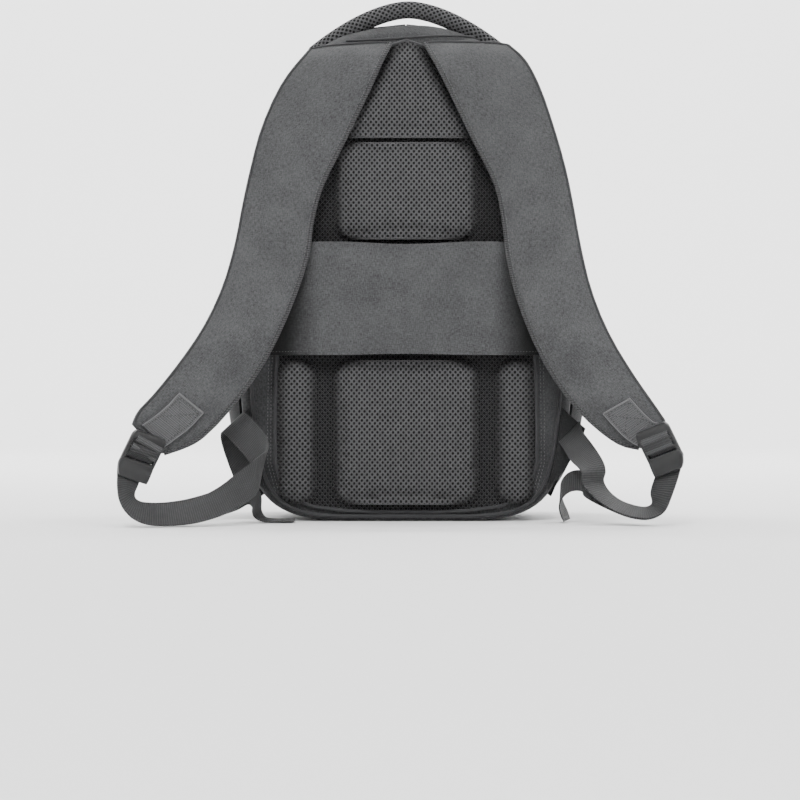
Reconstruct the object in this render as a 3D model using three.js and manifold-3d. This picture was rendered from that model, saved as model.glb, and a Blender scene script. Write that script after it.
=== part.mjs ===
// Laptop backpack, seen from its wearer side: millimetres, +Z up, +X to the right of
// somebody who looks at the back panel, +Y towards the front of the bag.
// The origin lies in the flat base, on the middle plane.
import * as THREE from 'three';
import { mergeVertices } from 'three/addons/utils/BufferGeometryUtils.js';
import Module from 'manifold-3d';

const wasm = await Module();
wasm.setup();

// Driving sizes of the body
const bodyHeight = 470;
const halfWidth = 158;
const bodyDepth = 170;
const wall = 2.5;
const clearance = 0.3;
const backRound = 12;
const topSoftness = 0.6;
const footRoundShare = 0.4;
const frontRound = 22;
const frontCrown = 10;
const bodyColumns = 48;
const mergeTolerance = 1e-3;

// Zips
const zipWidth = 8;
const zipThick = 2.4;
const zipFoot = 0.3;
const sliderLength = 11;
const sliderWidth = 6.5;
const sliderThick = 3;
const pullLength = 26;
const pullWidth = 5;
const pullThick = 1.6;

// Pockets
const pocketHeight = 200;
const pocketHalfWidth = 112;
const pocketFoot = 34;
const pocketBulge = 22;
const pocketWall = 2;
const pocketHeadShare = 0.9;
const pocketCorner = 30;
const pocketColumns = 36;
const pocketZipUp = 0.74;
const pocketZipReach = 0.72;
const pocketZipColumns = 9;
const sidePocketFoot = 22;
const sidePocketTop = 158;
const sidePocketStart = 26;
const sidePocketLength = 84;
const sidePocketBulge = 15;
const sidePocketFullness = 0.55;
const sidePocketTuck = 0.6;
const sidePocketRows = 8;
const sidePocketColumns = 7;

// Back panel
const panelThick = 2.4;
const panelColumns = 40;
const padCorner = 13;
const padColumns = 28;
const pipingRadius = 2;
const pipingSides = 6;
const pipingReach = 0.88;

// Luggage sleeve
const sleeveFoot = 156;
const sleeveTop = 260;
const sleeveInset = 18;
const sleeveHem = 8;
const sleeveBend = 46;
const sleeveStand = 24;
const sleeveThick = 2;

// Shoulder straps, webbing and buckles
const strapReach = 84;
const strapThick = 13;
const strapSteps = 30;
const strapFaceDrop = 0.4;
const strapUnderRise = 0.32;
const strapEdgePower = 4;
const webbingWidth = 28;
const webbingThick = 1.4;
const stepsPerRow = 3;
const patchStart = 0.8;
const patchEnd = 0.97;
const patchRows = 7;
const patchEase = 0.5;
const buckleWidth = 35;
const buckleLength = 44;
const buckleThick = 3.2;
const buckleRim = 2.8;
const buckleCorner = 6;
const topBarLength = 6;
const slotStarts = [8, 20];
const slotLength = 7;
const tabStart = 30;
const tabRise = 6;
const tabEdge = 2.4;
const tabCorner = 12;
const layerGap = 3;
const layerShift = 5;
const wingThick = 2;

// Grab handle
const handleRadius = 8.3;
const handleHalfSpan = 79;
const handleRise = 34.5;
const handleFootDrop = 20;
const handleBack = 22;
const handleOffset = 2.4;
const handleCurve = 1.7;
const handleReach = 1.1;
const handleSteps = 26;
const handleSides = 10;

// Places that follow from the driving sizes
const backY = -bodyDepth / 2;
const sleeveHalfWidth = halfWidth - sleeveInset;
const sleeveHemStart = sleeveHalfWidth - sleeveHem;
const sleeveFlatHalf = sleeveHemStart - sleeveBend;
const handleFootHeight = bodyHeight - handleFootDrop;

// Outline of the body seen from the back: shares of bodyHeight and halfWidth
const outlineRows = [
  { up: 0, out: 0.5 },
  { up: 0.006, out: 0.62 },
  { up: 0.016, out: 0.735 },
  { up: 0.034, out: 0.82 },
  { up: 0.06, out: 0.885 },
  { up: 0.105, out: 0.935 },
  { up: 0.16, out: 0.965 },
  { up: 0.235, out: 0.99 },
  { up: 0.34, out: 1 },
  { up: 0.5, out: 0.99 },
  { up: 0.63, out: 0.95 },
  { up: 0.745, out: 0.875 },
  { up: 0.85, out: 0.75 },
  { up: 0.915, out: 0.64 },
  { up: 0.953, out: 0.53 },
  { up: 0.977, out: 0.4 },
  { up: 0.992, out: 0.24 },
];

// Depth of the body by height, and the share of it behind the main zip
const depthRows = [
  { up: 0, deep: 0.88, seam: 0.66 },
  { up: 0.12, deep: 0.97, seam: 0.64 },
  { up: 0.3, deep: 1, seam: 0.62 },
  { up: 0.5, deep: 0.94, seam: 0.6 },
  { up: 0.7, deep: 0.82, seam: 0.57 },
  { up: 0.85, deep: 0.68, seam: 0.54 },
  { up: 0.94, deep: 0.54, seam: 0.52 },
  { up: 1, deep: 0.4, seam: 0.5 },
];

// Shares of the height between which the round edge of the back grows
const roundRows = { footEnd: 0.08, topStart: 0.86, topEnd: 0.99 };

// Rings of the front pocket: share of its outline and of its bulge
const pocketRings = [
  { share: 1, rise: 0.03 },
  { share: 0.99, rise: 0.5 },
  { share: 0.94, rise: 0.9 },
  { share: 0.8, rise: 1 },
  { share: 0.4, rise: 1 },
  { share: 0, rise: 1 },
];

// Edge of the air mesh on the back panel
const panelRows = [
  { up: 0.019, out: 0.25 },
  { up: 0.026, out: 0.5 },
  { up: 0.04, out: 0.66 },
  { up: 0.065, out: 0.745 },
  { up: 0.1, out: 0.772 },
  { up: 0.2, out: 0.775 },
  { up: 0.34, out: 0.765 },
  { up: 0.5, out: 0.72 },
  { up: 0.66, out: 0.68 },
  { up: 0.78, out: 0.56 },
  { up: 0.88, out: 0.4 },
  { up: 0.932, out: 0.21 },
  { up: 0.96, out: 0.07 },
];

// Crowned pads: heights, half widths at foot and head, and how far they stand out
const padRows = [
  { name: 'pad_top', x: 0, foot: 0.765, head: 0.957, footHalf: 0.43, headHalf: 0.06, stand: 6 },
  { name: 'pad_middle', x: 0, foot: 0.562, head: 0.755, footHalf: 0.415, headHalf: 0.42, stand: 7 },
  { name: 'pad_lower_centre', x: 0, foot: 0.034, head: 0.321, footHalf: 0.43, headHalf: 0.43, stand: 9 },
  { name: 'pad_lower_left', x: -0.645, foot: 0.036, head: 0.321, footHalf: 0.105, headHalf: 0.115, stand: 8 },
  { name: 'pad_lower_right', x: 0.645, foot: 0.036, head: 0.321, footHalf: 0.105, headHalf: 0.115, stand: 8 },
];

// Rings of a crowned pad: how far inside its edge, and share of its height
const padRings = [
  { inset: 0.5, rise: 0 },
  { inset: 0, rise: 0.35 },
  { inset: 3, rise: 0.8 },
  { inset: 9, rise: 1 },
];

// Columns of the luggage sleeve from its middle to its hem
const sleeveColumns = [0, 0.22, 0.45, 0.62, 0.72, 0.8, 0.87, 0.93, 0.97, 1];

// Columns across a shoulder strap
const strapAcross = [0, 0.05, 0.16, 0.35, 0.65, 0.84, 0.95, 1];

// Shoulder straps: places of both edges, their distance in front of the back as a
// share of strapReach, and the share of the full padding
const strapRows = {
  left: [
    { outUp: 0.948, out: 0.564, inUp: 0.96, in: 0.089, outStand: 0.067, inStand: 0.067, full: 0.4 },
    { outUp: 0.918, out: 0.632, inUp: 0.925, in: 0.138, outStand: 0.21, inStand: 0.23, full: 0.75 },
    { outUp: 0.865, out: 0.738, inUp: 0.865, in: 0.212, outStand: 0.27, inStand: 0.3, full: 0.95 },
    { outUp: 0.781, out: 0.849, inUp: 0.745, in: 0.383, outStand: 0.29, inStand: 0.32, full: 1 },
    { outUp: 0.701, out: 0.912, inUp: 0.665, in: 0.5, outStand: 0.31, inStand: 0.33, full: 1 },
    { outUp: 0.629, out: 0.958, inUp: 0.599, in: 0.552, outStand: 0.34, inStand: 0.36, full: 1 },
    { outUp: 0.557, out: 0.996, inUp: 0.528, in: 0.58, outStand: 0.4, inStand: 0.42, full: 1 },
    { outUp: 0.47, out: 1.062, inUp: 0.422, in: 0.683, outStand: 0.5, inStand: 0.5, full: 1 },
    { outUp: 0.39, out: 1.162, inUp: 0.322, in: 0.819, outStand: 0.61, inStand: 0.57, full: 1 },
    { outUp: 0.32, out: 1.289, inUp: 0.246, in: 0.971, outStand: 0.74, inStand: 0.65, full: 1 },
    { outUp: 0.25, out: 1.443, inUp: 0.17, in: 1.173, outStand: 0.87, inStand: 0.74, full: 0.95 },
    { outUp: 0.219, out: 1.525, inUp: 0.151, in: 1.273, outStand: 0.93, inStand: 0.79, full: 0.8 },
    { outUp: 0.196, out: 1.556, inUp: 0.136, in: 1.401, outStand: 0.96, inStand: 0.84, full: 0.5 },
  ],
  right: [
    { outUp: 0.956, out: 0.6, inUp: 0.96, in: 0.107, outStand: 0.067, inStand: 0.067, full: 0.4 },
    { outUp: 0.925, out: 0.692, inUp: 0.925, in: 0.163, outStand: 0.21, inStand: 0.23, full: 0.75 },
    { outUp: 0.869, out: 0.779, inUp: 0.869, in: 0.242, outStand: 0.27, inStand: 0.3, full: 0.95 },
    { outUp: 0.785, out: 0.866, inUp: 0.753, in: 0.407, outStand: 0.29, inStand: 0.32, full: 1 },
    { outUp: 0.701, out: 0.936, inUp: 0.665, in: 0.535, outStand: 0.31, inStand: 0.33, full: 1 },
    { outUp: 0.625, out: 0.981, inUp: 0.593, in: 0.576, outStand: 0.34, inStand: 0.36, full: 1 },
    { outUp: 0.557, out: 1.014, inUp: 0.524, in: 0.598, outStand: 0.4, inStand: 0.42, full: 1 },
    { outUp: 0.462, out: 1.074, inUp: 0.426, in: 0.671, outStand: 0.5, inStand: 0.5, full: 1 },
    { outUp: 0.375, out: 1.168, inUp: 0.316, in: 0.808, outStand: 0.61, inStand: 0.57, full: 1 },
    { outUp: 0.296, out: 1.295, inUp: 0.234, in: 0.971, outStand: 0.74, inStand: 0.65, full: 1 },
    { outUp: 0.238, out: 1.403, inUp: 0.182, in: 1.121, outStand: 0.87, inStand: 0.74, full: 0.95 },
    { outUp: 0.209, out: 1.456, inUp: 0.155, in: 1.238, outStand: 0.93, inStand: 0.79, full: 0.8 },
    { outUp: 0.2, out: 1.47, inUp: 0.146, in: 1.356, outStand: 0.96, inStand: 0.84, full: 0.5 },
  ],
};

// Ladder buckles: place of the top bar, turn of the width in the plane of the back,
// its tilt out of that plane, and the turn of the length, in degrees
const buckleRows = {
  left: { out: -1.454, up: 0.176, stand: 0.99, roll: -21, tilt: 35, lengthRoll: -128 },
  right: { out: 1.391, up: 0.19, stand: 0.981, roll: -156, tilt: 35, lengthRoll: -59 },
};

// Lower webbing from the wing to the buckle: middle of the band, turn and tilt of its
// width. The first row lies on the wing, and the stand of the others is a share of
// strapReach beyond that
const webbingRows = {
  left: [
    { out: -0.949, up: 0.096, stand: 0, roll: 48, tilt: 0 },
    { out: -0.994, up: 0.14, stand: 0.06, roll: 44, tilt: 5 },
    { out: -1.033, up: 0.185, stand: 0.1, roll: 45, tilt: 15 },
    { out: -1.021, up: 0.198, stand: 0.16, roll: 44, tilt: 20 },
    { out: -0.955, up: 0.179, stand: 0.24, roll: 45, tilt: 8 },
    { out: -0.871, up: 0.147, stand: 0.35, roll: 52, tilt: 12 },
    { out: -0.828, up: 0.118, stand: 0.48, roll: 75, tilt: 8 },
    { out: -0.847, up: 0.105, stand: 0.6, roll: 88, tilt: 8 },
    { out: -0.878, up: 0.091, stand: 0.69, roll: 105, tilt: 11 },
    { out: -0.938, up: 0.074, stand: 0.77, roll: 116, tilt: 15 },
    { out: -1.052, up: 0.048, stand: 0.87, roll: 117, tilt: 31 },
    { out: -1.21, up: 0.028, stand: 0.96, roll: 111, tilt: 43 },
    { out: -1.358, up: 0.022, stand: 1.02, roll: 103, tilt: 47 },
    { out: -1.464, up: 0.024, stand: 1.07, roll: 94, tilt: 52 },
    { out: -1.53, up: 0.032, stand: 1.1, roll: 80, tilt: 60 },
    { out: -1.572, up: 0.047, stand: 1.1, roll: 55, tilt: 66 },
    { out: -1.583, up: 0.07, stand: 1.07, roll: 22, tilt: 58 },
  ],
  right: [
    { out: 0.972, up: 0.178, stand: 0, roll: 45, tilt: 0 },
    { out: 0.99, up: 0.16, stand: 0.16, roll: 45, tilt: 25 },
    { out: 1.026, up: 0.139, stand: 0.36, roll: 39, tilt: 24 },
    { out: 1.075, up: 0.114, stand: 0.55, roll: 11, tilt: 30 },
    { out: 1.085, up: 0.101, stand: 0.6, roll: 0, tilt: 34 },
    { out: 1.082, up: 0.083, stand: 0.58, roll: 5, tilt: 42 },
    { out: 1.128, up: 0.06, stand: 0.6, roll: 14, tilt: 54 },
    { out: 1.206, up: 0.039, stand: 0.67, roll: 28, tilt: 61 },
    { out: 1.302, up: 0.027, stand: 0.75, roll: 51, tilt: 67 },
    { out: 1.385, up: 0.025, stand: 0.85, roll: 90, tilt: 72 },
    { out: 1.438, up: 0.036, stand: 0.93, roll: 140, tilt: 70 },
    { out: 1.449, up: 0.057, stand: 0.98, roll: 165, tilt: 58 },
  ],
};

// Free ends beyond the stretch that lies along the webbing
const tailRows = {
  left: [
    { out: -1.013, up: 0.05, stand: 0.76, roll: 122, tilt: 34 },
    { out: -0.935, up: 0.062, stand: 0.59, roll: 112, tilt: 38 },
    { out: -0.885, up: 0.052, stand: 0.43, roll: 85, tilt: 48 },
    { out: -0.875, up: 0.036, stand: 0.31, roll: 60, tilt: 62 },
    { out: -0.873, up: 0.018, stand: 0.23, roll: 50, tilt: 76 },
    { out: -0.84, up: 0.006, stand: 0.21, roll: 60, tilt: 85 },
    { out: -0.765, up: 0.004, stand: 0.22, roll: 80, tilt: 88 },
    { out: -0.657, up: 0.004, stand: 0.22, roll: 80, tilt: 88 },
  ],
  right: [
    { out: 1.07, up: 0.066, stand: 0.49, roll: 38, tilt: 54 },
    { out: 1.03, up: 0.083, stand: 0.44, roll: 80, tilt: 50 },
    { out: 0.964, up: 0.082, stand: 0.37, roll: 87, tilt: 53 },
    { out: 0.918, up: 0.068, stand: 0.31, roll: 86, tilt: 59 },
    { out: 0.905, up: 0.05, stand: 0.27, roll: 75, tilt: 67 },
    { out: 0.912, up: 0.033, stand: 0.25, roll: 45, tilt: 74 },
    { out: 0.93, up: 0.017, stand: 0.25, roll: 20, tilt: 73 },
    { out: 0.945, up: 0.004, stand: 0.25, roll: 8, tilt: 75 },
  ],
};

// Rows of the webbing that the free end lies along, counted from the wing
const tailLeaves = { left: 11, right: 7 };

// Triangular wings in the side seams: places from the seam outwards
const wingRows = [
  { up: 0.228, reach: 0 },
  { up: 0.21, reach: 9 },
  { up: 0.185, reach: 24 },
  { up: 0.15, reach: 20 },
  { up: 0.1, reach: 11 },
  { up: 0.058, reach: 2 },
];

const finishes = {
  strapFabric: { color: 0x64656a, roughness: 0.95 },
  bodyFabric: { color: 0x5a5b5e, roughness: 0.95 },
  airMesh: { color: 0x4b4c4f, roughness: 0.9 },
  webbing: { color: 0x56575a, roughness: 0.85 },
  binding: { color: 0x2b2b2d, roughness: 0.8 },
  plastic: { color: 0x2e2f31, roughness: 0.4 },
  zipTape: { color: 0x1f1f21, roughness: 0.7 },
};

const group = new THREE.Group();

function place(name, geometry, finish) {
  const { color, roughness } = finishes[finish];
  const material = new THREE.MeshStandardMaterial({ color, roughness, metalness: 0 });
  const mesh = new THREE.Mesh(geometry, material);
  mesh.name = name;
  group.add(mesh);
}

// Closed geometry from points and faces: shared corners merged, thin faces dropped
function closedGeometry(points, faces) {
  const loose = new THREE.BufferGeometry();
  loose.setAttribute('position', new THREE.Float32BufferAttribute(points.flatMap((p) => [p.x, p.y, p.z]), 3));
  loose.setIndex(faces);
  const merged = mergeVertices(loose, mergeTolerance);
  const index = [...merged.index.array];
  const kept = [];
  for (let i = 0; i < index.length; i += 3) {
    const [a, b, c] = index.slice(i, i + 3);
    if (a !== b && b !== c && a !== c) kept.push(a, b, c);
  }
  merged.setIndex(signedVolume(merged, kept) < 0 ? kept.reverse() : kept);
  merged.computeVertexNormals();
  return merged;
}

function signedVolume(geometry, index) {
  const corner = new THREE.Vector3();
  const at = (i) => corner.clone().fromBufferAttribute(geometry.attributes.position, i);
  let sum = 0;
  for (let i = 0; i < index.length; i += 3) {
    sum += at(index[i]).dot(at(index[i + 1]).cross(at(index[i + 2])));
  }
  return sum / 6;
}

// Faces between neighbouring rows of a grid that starts at vertex first
function gridFaces(first, rows, columns, wrap, flip) {
  const faces = [];
  const at = (r, c) => first + r * columns + (c % columns);
  for (let r = 0; r + 1 < rows; r++) {
    for (let c = 0; c < (wrap ? columns : columns - 1); c++) {
      const quad = [at(r, c), at(r, c + 1), at(r + 1, c + 1), at(r + 1, c)];
      const [a, b, d, e] = flip ? quad.reverse() : quad;
      faces.push(a, b, d, a, d, e);
    }
  }
  return faces;
}

// Solid between two grids of points: a wall, a sheet, a pad or a band
function wallBetween(front, back, wrap = false) {
  const rows = front.length;
  const columns = front[0].length;
  const last = columns - 1;
  const at = (side, r, c) => side * rows * columns + r * columns + (c % columns);
  const faces = [
    ...gridFaces(0, rows, columns, wrap, false),
    ...gridFaces(rows * columns, rows, columns, wrap, true),
  ];
  const quad = (a, b, c, d) => faces.push(a, b, c, a, c, d);
  for (let c = 0; c < (wrap ? columns : columns - 1); c++) {
    quad(at(1, 0, c), at(1, 0, c + 1), at(0, 0, c + 1), at(0, 0, c));
    quad(at(0, rows - 1, c), at(0, rows - 1, c + 1), at(1, rows - 1, c + 1), at(1, rows - 1, c));
  }
  if (!wrap) {
    for (let r = 0; r + 1 < rows; r++) {
      quad(at(0, r, 0), at(0, r + 1, 0), at(1, r + 1, 0), at(1, r, 0));
      quad(at(1, r, last), at(1, r + 1, last), at(0, r + 1, last), at(0, r, last));
    }
  }
  return closedGeometry([...front.flat(), ...back.flat()], faces);
}

// Solid through closed rings, with each end drawn to its middle
function loft(rings) {
  const middle = (ring) => {
    const sum = ring.reduce((total, p) => total.add(p), new THREE.Vector3());
    return ring.map(() => sum.clone().divideScalar(ring.length));
  };
  const all = [middle(rings[0]), ...rings, middle(rings[rings.length - 1])];
  return closedGeometry(all.flat(), gridFaces(0, all.length, all[0].length, true, false));
}

// Unit normals of a grid of points
function gridNormals(grid, wrap, poleNormal = new THREE.Vector3(0, -1, 0)) {
  const columns = grid[0].length;
  return grid.map((row, r) => row.map((point, c) => {
    const before = wrap ? row[(c + columns - 1) % columns] : row[Math.max(c - 1, 0)];
    const after = wrap ? row[(c + 1) % columns] : row[Math.min(c + 1, columns - 1)];
    const across = after.clone().sub(before);
    const along = grid[Math.min(r + 1, grid.length - 1)][c].clone().sub(grid[Math.max(r - 1, 0)][c]);
    if (across.length() < mergeTolerance) return poleNormal.clone();
    return along.cross(across).normalize();
  }));
}

function shifted(grid, normals, distance) {
  return grid.map((row, r) => row.map((p, c) => p.clone().addScaledVector(normals[r][c], distance)));
}

function toManifold(geometry) {
  const plain = geometry.clone();
  plain.deleteAttribute('normal');
  if (plain.attributes.uv) plain.deleteAttribute('uv');
  const merged = mergeVertices(plain, mergeTolerance);
  return new wasm.Manifold(new wasm.Mesh({
    numProp: 3,
    vertProperties: new Float32Array(merged.attributes.position.array),
    triVerts: new Uint32Array(merged.index.array),
  }));
}

function fromManifold(solid) {
  const mesh = solid.getMesh();
  const geometry = new THREE.BufferGeometry();
  geometry.setAttribute('position', new THREE.BufferAttribute(mesh.vertProperties, 3));
  geometry.setIndex(new THREE.BufferAttribute(mesh.triVerts, 1));
  geometry.computeVertexNormals();
  return geometry;
}

// Smooth curve through one column of a table, read at a share of the height
function byHeight(table, column) {
  const curve = new THREE.CubicInterpolant(
    Float32Array.from(table, (row) => row.up),
    Float32Array.from(table, (row) => row[column]),
    1,
    new Float32Array(1),
  );
  return (z) => curve.evaluate(z / bodyHeight)[0];
}

const halfAt = byHeight(outlineRows, 'out');
const deepAt = byHeight(depthRows, 'deep');
const seamAt = byHeight(depthRows, 'seam');

function mirroredOutline(rows, count) {
  const right = rows.map((row) => new THREE.Vector3(row.out * halfWidth, 0, row.up * bodyHeight));
  const left = right.map((p) => new THREE.Vector3(-p.x, 0, p.z)).reverse();
  const foot = new THREE.Vector3(0, 0, right[0].z);
  const head = new THREE.Vector3(0, 0, rows === outlineRows ? bodyHeight : right[right.length - 1].z);
  const curve = new THREE.CatmullRomCurve3([foot, ...right, head, ...left], true);
  return curve.getSpacedPoints(count).slice(0, count);
}

// Outline points with their outward direction
const outline = mirroredOutline(outlineRows, bodyColumns).map((p, i, all) => {
  const before = all[(i + bodyColumns - 1) % bodyColumns];
  const after = all[(i + 1) % bodyColumns];
  const outward = new THREE.Vector3(after.z - before.z, 0, before.x - after.x).normalize();
  return { x: p.x, z: Math.max(p.z, 0), outward };
});

const centreHeight = bodyHeight * 0.45;
const seamY = (z) => backY + bodyDepth * deepAt(z) * seamAt(z);
const roundAt = (z) => frontRound * deepAt(z);
const edgeRoundAt = (z) => {
  const up = z / bodyHeight;
  const top = 1 + topSoftness * THREE.MathUtils.smoothstep(up, roundRows.topStart, roundRows.topEnd);
  const foot = THREE.MathUtils.lerp(footRoundShare, 1, THREE.MathUtils.smoothstep(up, 0, roundRows.footEnd));
  return backRound * top * foot;
};
const leastHalf = outlineRows[outlineRows.length - 1].out;
const frontY = (x, z) => {
  const share = Math.min(Math.abs(x) / (halfWidth * Math.max(halfAt(z), leastHalf)), 1);
  return backY + bodyDepth * deepAt(z) + frontCrown * (1 - share * share) * deepAt(z);
};

// One ring round the body: inset from the outline, share of the way from the centre
function bodyRing({ inset = () => 0, share = 1, y }) {
  return outline.map((spot) => {
    const step = inset(spot.z);
    const x = (spot.x - spot.outward.x * step) * share;
    const z = centreHeight + (spot.z - spot.outward.z * step - centreHeight) * share;
    return new THREE.Vector3(x, y(x, z, spot.z), z);
  });
}

const zipGap = (z) => (z > zipFoot * bodyHeight ? zipWidth + 2 * clearance : clearance);

function rearRings(grow = 0) {
  const arc = (angle) => ({
    inset: (z) => edgeRoundAt(z) * (1 - Math.sin(angle)) - grow * Math.sin(angle),
    y: (x, z, spotZ) => backY + edgeRoundAt(spotZ) * (1 - Math.cos(angle)) - grow * Math.cos(angle),
  });
  return [
    bodyRing({ share: 0, y: () => backY - grow }),
    bodyRing({ inset: edgeRoundAt, share: 0.6, y: () => backY - grow }),
    ...[0, Math.PI / 6, Math.PI / 3, Math.PI / 2].map((angle) => bodyRing(arc(angle))),
    bodyRing({ inset: () => -grow, y: (x, z, spotZ) => seamY(spotZ) }),
  ];
}

function frontRings() {
  const arc = (angle) => ({
    inset: (z) => roundAt(z) * (1 - Math.cos(angle)),
    y: (x, z, spotZ) => frontY(x, spotZ) - roundAt(spotZ) * (1 - Math.sin(angle)),
  });
  return [
    bodyRing({ y: (x, z, spotZ) => seamY(spotZ) + zipGap(spotZ) }),
    ...[0, Math.PI / 4, Math.PI / 2].map((angle) => bodyRing(arc(angle))),
    ...[0.7, 0.35, 0].map((share) => bodyRing({ inset: roundAt, share, y: frontY })),
  ];
}

function addBody() {
  for (const [name, rings, poleY] of [['rear_shell', rearRings(), -1], ['front_shell', frontRings(), 1]]) {
    const normals = gridNormals(rings, true, new THREE.Vector3(0, poleY, 0));
    place(name, wallBetween(rings, shifted(rings, normals, -wall), true), 'bodyFabric');
  }
}

// The zip tape fills the seam of the two shells above its foot
function addMainZip() {
  const columns = outline.filter((spot) => spot.z > zipFoot * bodyHeight);
  const edge = (drop, step) => columns.map((spot) => new THREE.Vector3(
    spot.x - spot.outward.x * drop,
    seamY(spot.z) + step,
    spot.z - spot.outward.z * drop,
  ));
  const tape = (drop) => [edge(drop, clearance), edge(drop, clearance + zipWidth)];
  place('main_zip', wallBetween(tape(0), tape(zipThick)), 'zipTape');
}

// A slider with its pull tab as one solid, lying on a tape at the point given
function sliderGeometry() {
  const body = new THREE.BoxGeometry(sliderLength, sliderWidth, sliderThick);
  body.translate(sliderLength / 2, 0, sliderThick / 2);
  const tab = new THREE.Shape();
  tab.moveTo(0, -pullWidth / 2);
  tab.lineTo(pullLength - pullWidth / 2, -pullWidth / 2);
  tab.absarc(pullLength - pullWidth / 2, 0, pullWidth / 2, -Math.PI / 2, Math.PI / 2);
  tab.lineTo(0, pullWidth / 2);
  const pull = new THREE.ExtrudeGeometry(tab, { depth: pullThick, bevelEnabled: false, curveSegments: 6 });
  pull.translate(sliderLength - pullThick, 0, sliderThick - pullThick);
  return fromManifold(toManifold(body).add(toManifold(pull)));
}

function addSliders() {
  const top = outline.reduce((best, spot) => (spot.z > best.z ? spot : best));
  const last = outlineRows[outlineRows.length - 1];
  const slope = Math.atan2((1 - last.up) * bodyHeight, last.out * halfWidth);
  for (const [name, side] of [['zip_slider_left', -1], ['zip_slider_right', 1]]) {
    const geometry = sliderGeometry();
    geometry.rotateY(slope);
    if (side < 0) geometry.rotateZ(Math.PI);
    geometry.translate(side * clearance, seamY(top.z) + clearance + zipWidth / 2, top.z + clearance);
    place(name, geometry, 'plastic');
  }
}

// Raised front pocket, a bowl that is open towards the body
function addFrontPocket() {
  const shape = new THREE.Shape();
  const headHalf = pocketHalfWidth * pocketHeadShare;
  roundedTrapezoid(shape, 0, pocketFoot, pocketFoot + pocketHeight, pocketHalfWidth, headHalf, pocketCorner);
  const edge = shape.getSpacedPoints(pocketColumns).slice(0, pocketColumns);
  const middle = new THREE.Vector2(0, pocketFoot + pocketHeight / 2);
  const rings = pocketRings.map(({ share, rise }) => edge.map((p) => {
    const spot = p.clone().sub(middle).multiplyScalar(share).add(middle);
    return new THREE.Vector3(spot.x, frontY(spot.x, spot.y) + clearance + rise * pocketBulge, spot.y);
  }));
  const normals = gridNormals(rings, true, new THREE.Vector3(0, 1, 0));
  place('front_pocket', wallBetween(rings, shifted(rings, normals, -pocketWall), true), 'bodyFabric');
  addPocketZip();
}

function addPocketZip() {
  const height = pocketFoot + pocketHeight * pocketZipUp;
  const reach = pocketHalfWidth * pocketZipReach;
  const rows = (rise) => [-0.5, 0.5].map((share) => Array.from({ length: pocketZipColumns }, (_, i) => {
    const x = reach * (2 * i / (pocketZipColumns - 1) - 1);
    const z = height + share * zipWidth;
    return new THREE.Vector3(x, frontY(x, z) + pocketBulge + rise, z);
  }));
  place('pocket_zip', wallBetween(rows(3 * clearance), rows(2 * clearance + zipThick)), 'zipTape');
}

function roundedTrapezoid(shape, x, foot, head, footHalf, headHalf, corner) {
  const lean = (footHalf - headHalf) / (head - foot);
  shape.moveTo(x - footHalf + corner, foot);
  shape.lineTo(x + footHalf - corner, foot);
  shape.quadraticCurveTo(x + footHalf, foot, x + footHalf - lean * corner, foot + corner);
  shape.lineTo(x + headHalf + lean * corner, head - corner);
  shape.quadraticCurveTo(x + headHalf, head, x + headHalf - corner, head);
  shape.lineTo(x - headHalf + corner, head);
  shape.quadraticCurveTo(x - headHalf, head, x - headHalf - lean * corner, head - corner);
  shape.lineTo(x - footHalf + lean * corner, foot + corner);
  shape.quadraticCurveTo(x - footHalf, foot, x - footHalf + corner, foot);
}

// Open pocket on the side: the sheet leaves the body and comes back to it
function addSidePocket(name, side) {
  const lastColumn = sidePocketColumns - 1;
  const sheet = (inner) => Array.from({ length: sidePocketRows }, (_, r) => {
    const z = sidePocketFoot + (sidePocketTop - sidePocketFoot) * (r / (sidePocketRows - 1));
    const rise = Math.sin(Math.min(1, r / (sidePocketRows - 3)) * Math.PI / 2);
    return Array.from({ length: sidePocketColumns }, (_, c) => {
      const v = c / lastColumn;
      const bulge = sidePocketBulge * rise * Math.sin(Math.PI * v) ** sidePocketFullness;
      const x = halfAt(z) * halfWidth + 2 * clearance + pocketWall + bulge - (inner ? pocketWall : 0);
      const tuck = pocketWall * sidePocketTuck * Math.sign(lastColumn / 2 - c);
      const inset = inner && c > 0 && c < lastColumn ? tuck : 0;
      return new THREE.Vector3(side * x, backY + sidePocketStart + sidePocketLength * v + inset, z);
    });
  });
  place(name, wallBetween(sheet(false), sheet(true)), 'bodyFabric');
}

function addBackPanel() {
  const edges = mirroredOutline(panelRows, panelColumns);
  const shape = new THREE.Shape(edges.map((p) => new THREE.Vector2(p.x, p.z)));
  const plate = new THREE.ExtrudeGeometry(shape, { depth: panelThick, bevelEnabled: false });
  plate.rotateX(Math.PI / 2);
  plate.translate(0, backY - clearance, 0);
  place('back_panel', plate, 'airMesh');
  const seat = backY - clearance - panelThick - clearance;
  for (const row of padRows) {
    const x = row.x * halfWidth;
    const foot = row.foot * bodyHeight;
    const head = row.head * bodyHeight;
    const edgeShape = new THREE.Shape();
    const corner = Math.min(padCorner, row.headHalf * halfWidth * 0.8);
    roundedTrapezoid(edgeShape, x, foot, head, row.footHalf * halfWidth, row.headHalf * halfWidth, corner);
    const edge = edgeShape.getSpacedPoints(padColumns).slice(0, padColumns);
    const middle = new THREE.Vector2(x, (foot + head) / 2);
    const rings = padRings.map(({ inset, rise }) => edge.map((p) => {
      const spoke = p.clone().sub(middle);
      const spot = spoke.multiplyScalar(1 - inset / spoke.length()).add(middle);
      return new THREE.Vector3(spot.x, seat - rise * row.stand, spot.y);
    }));
    place(row.name, loft(rings), 'airMesh');
  }
}

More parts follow.
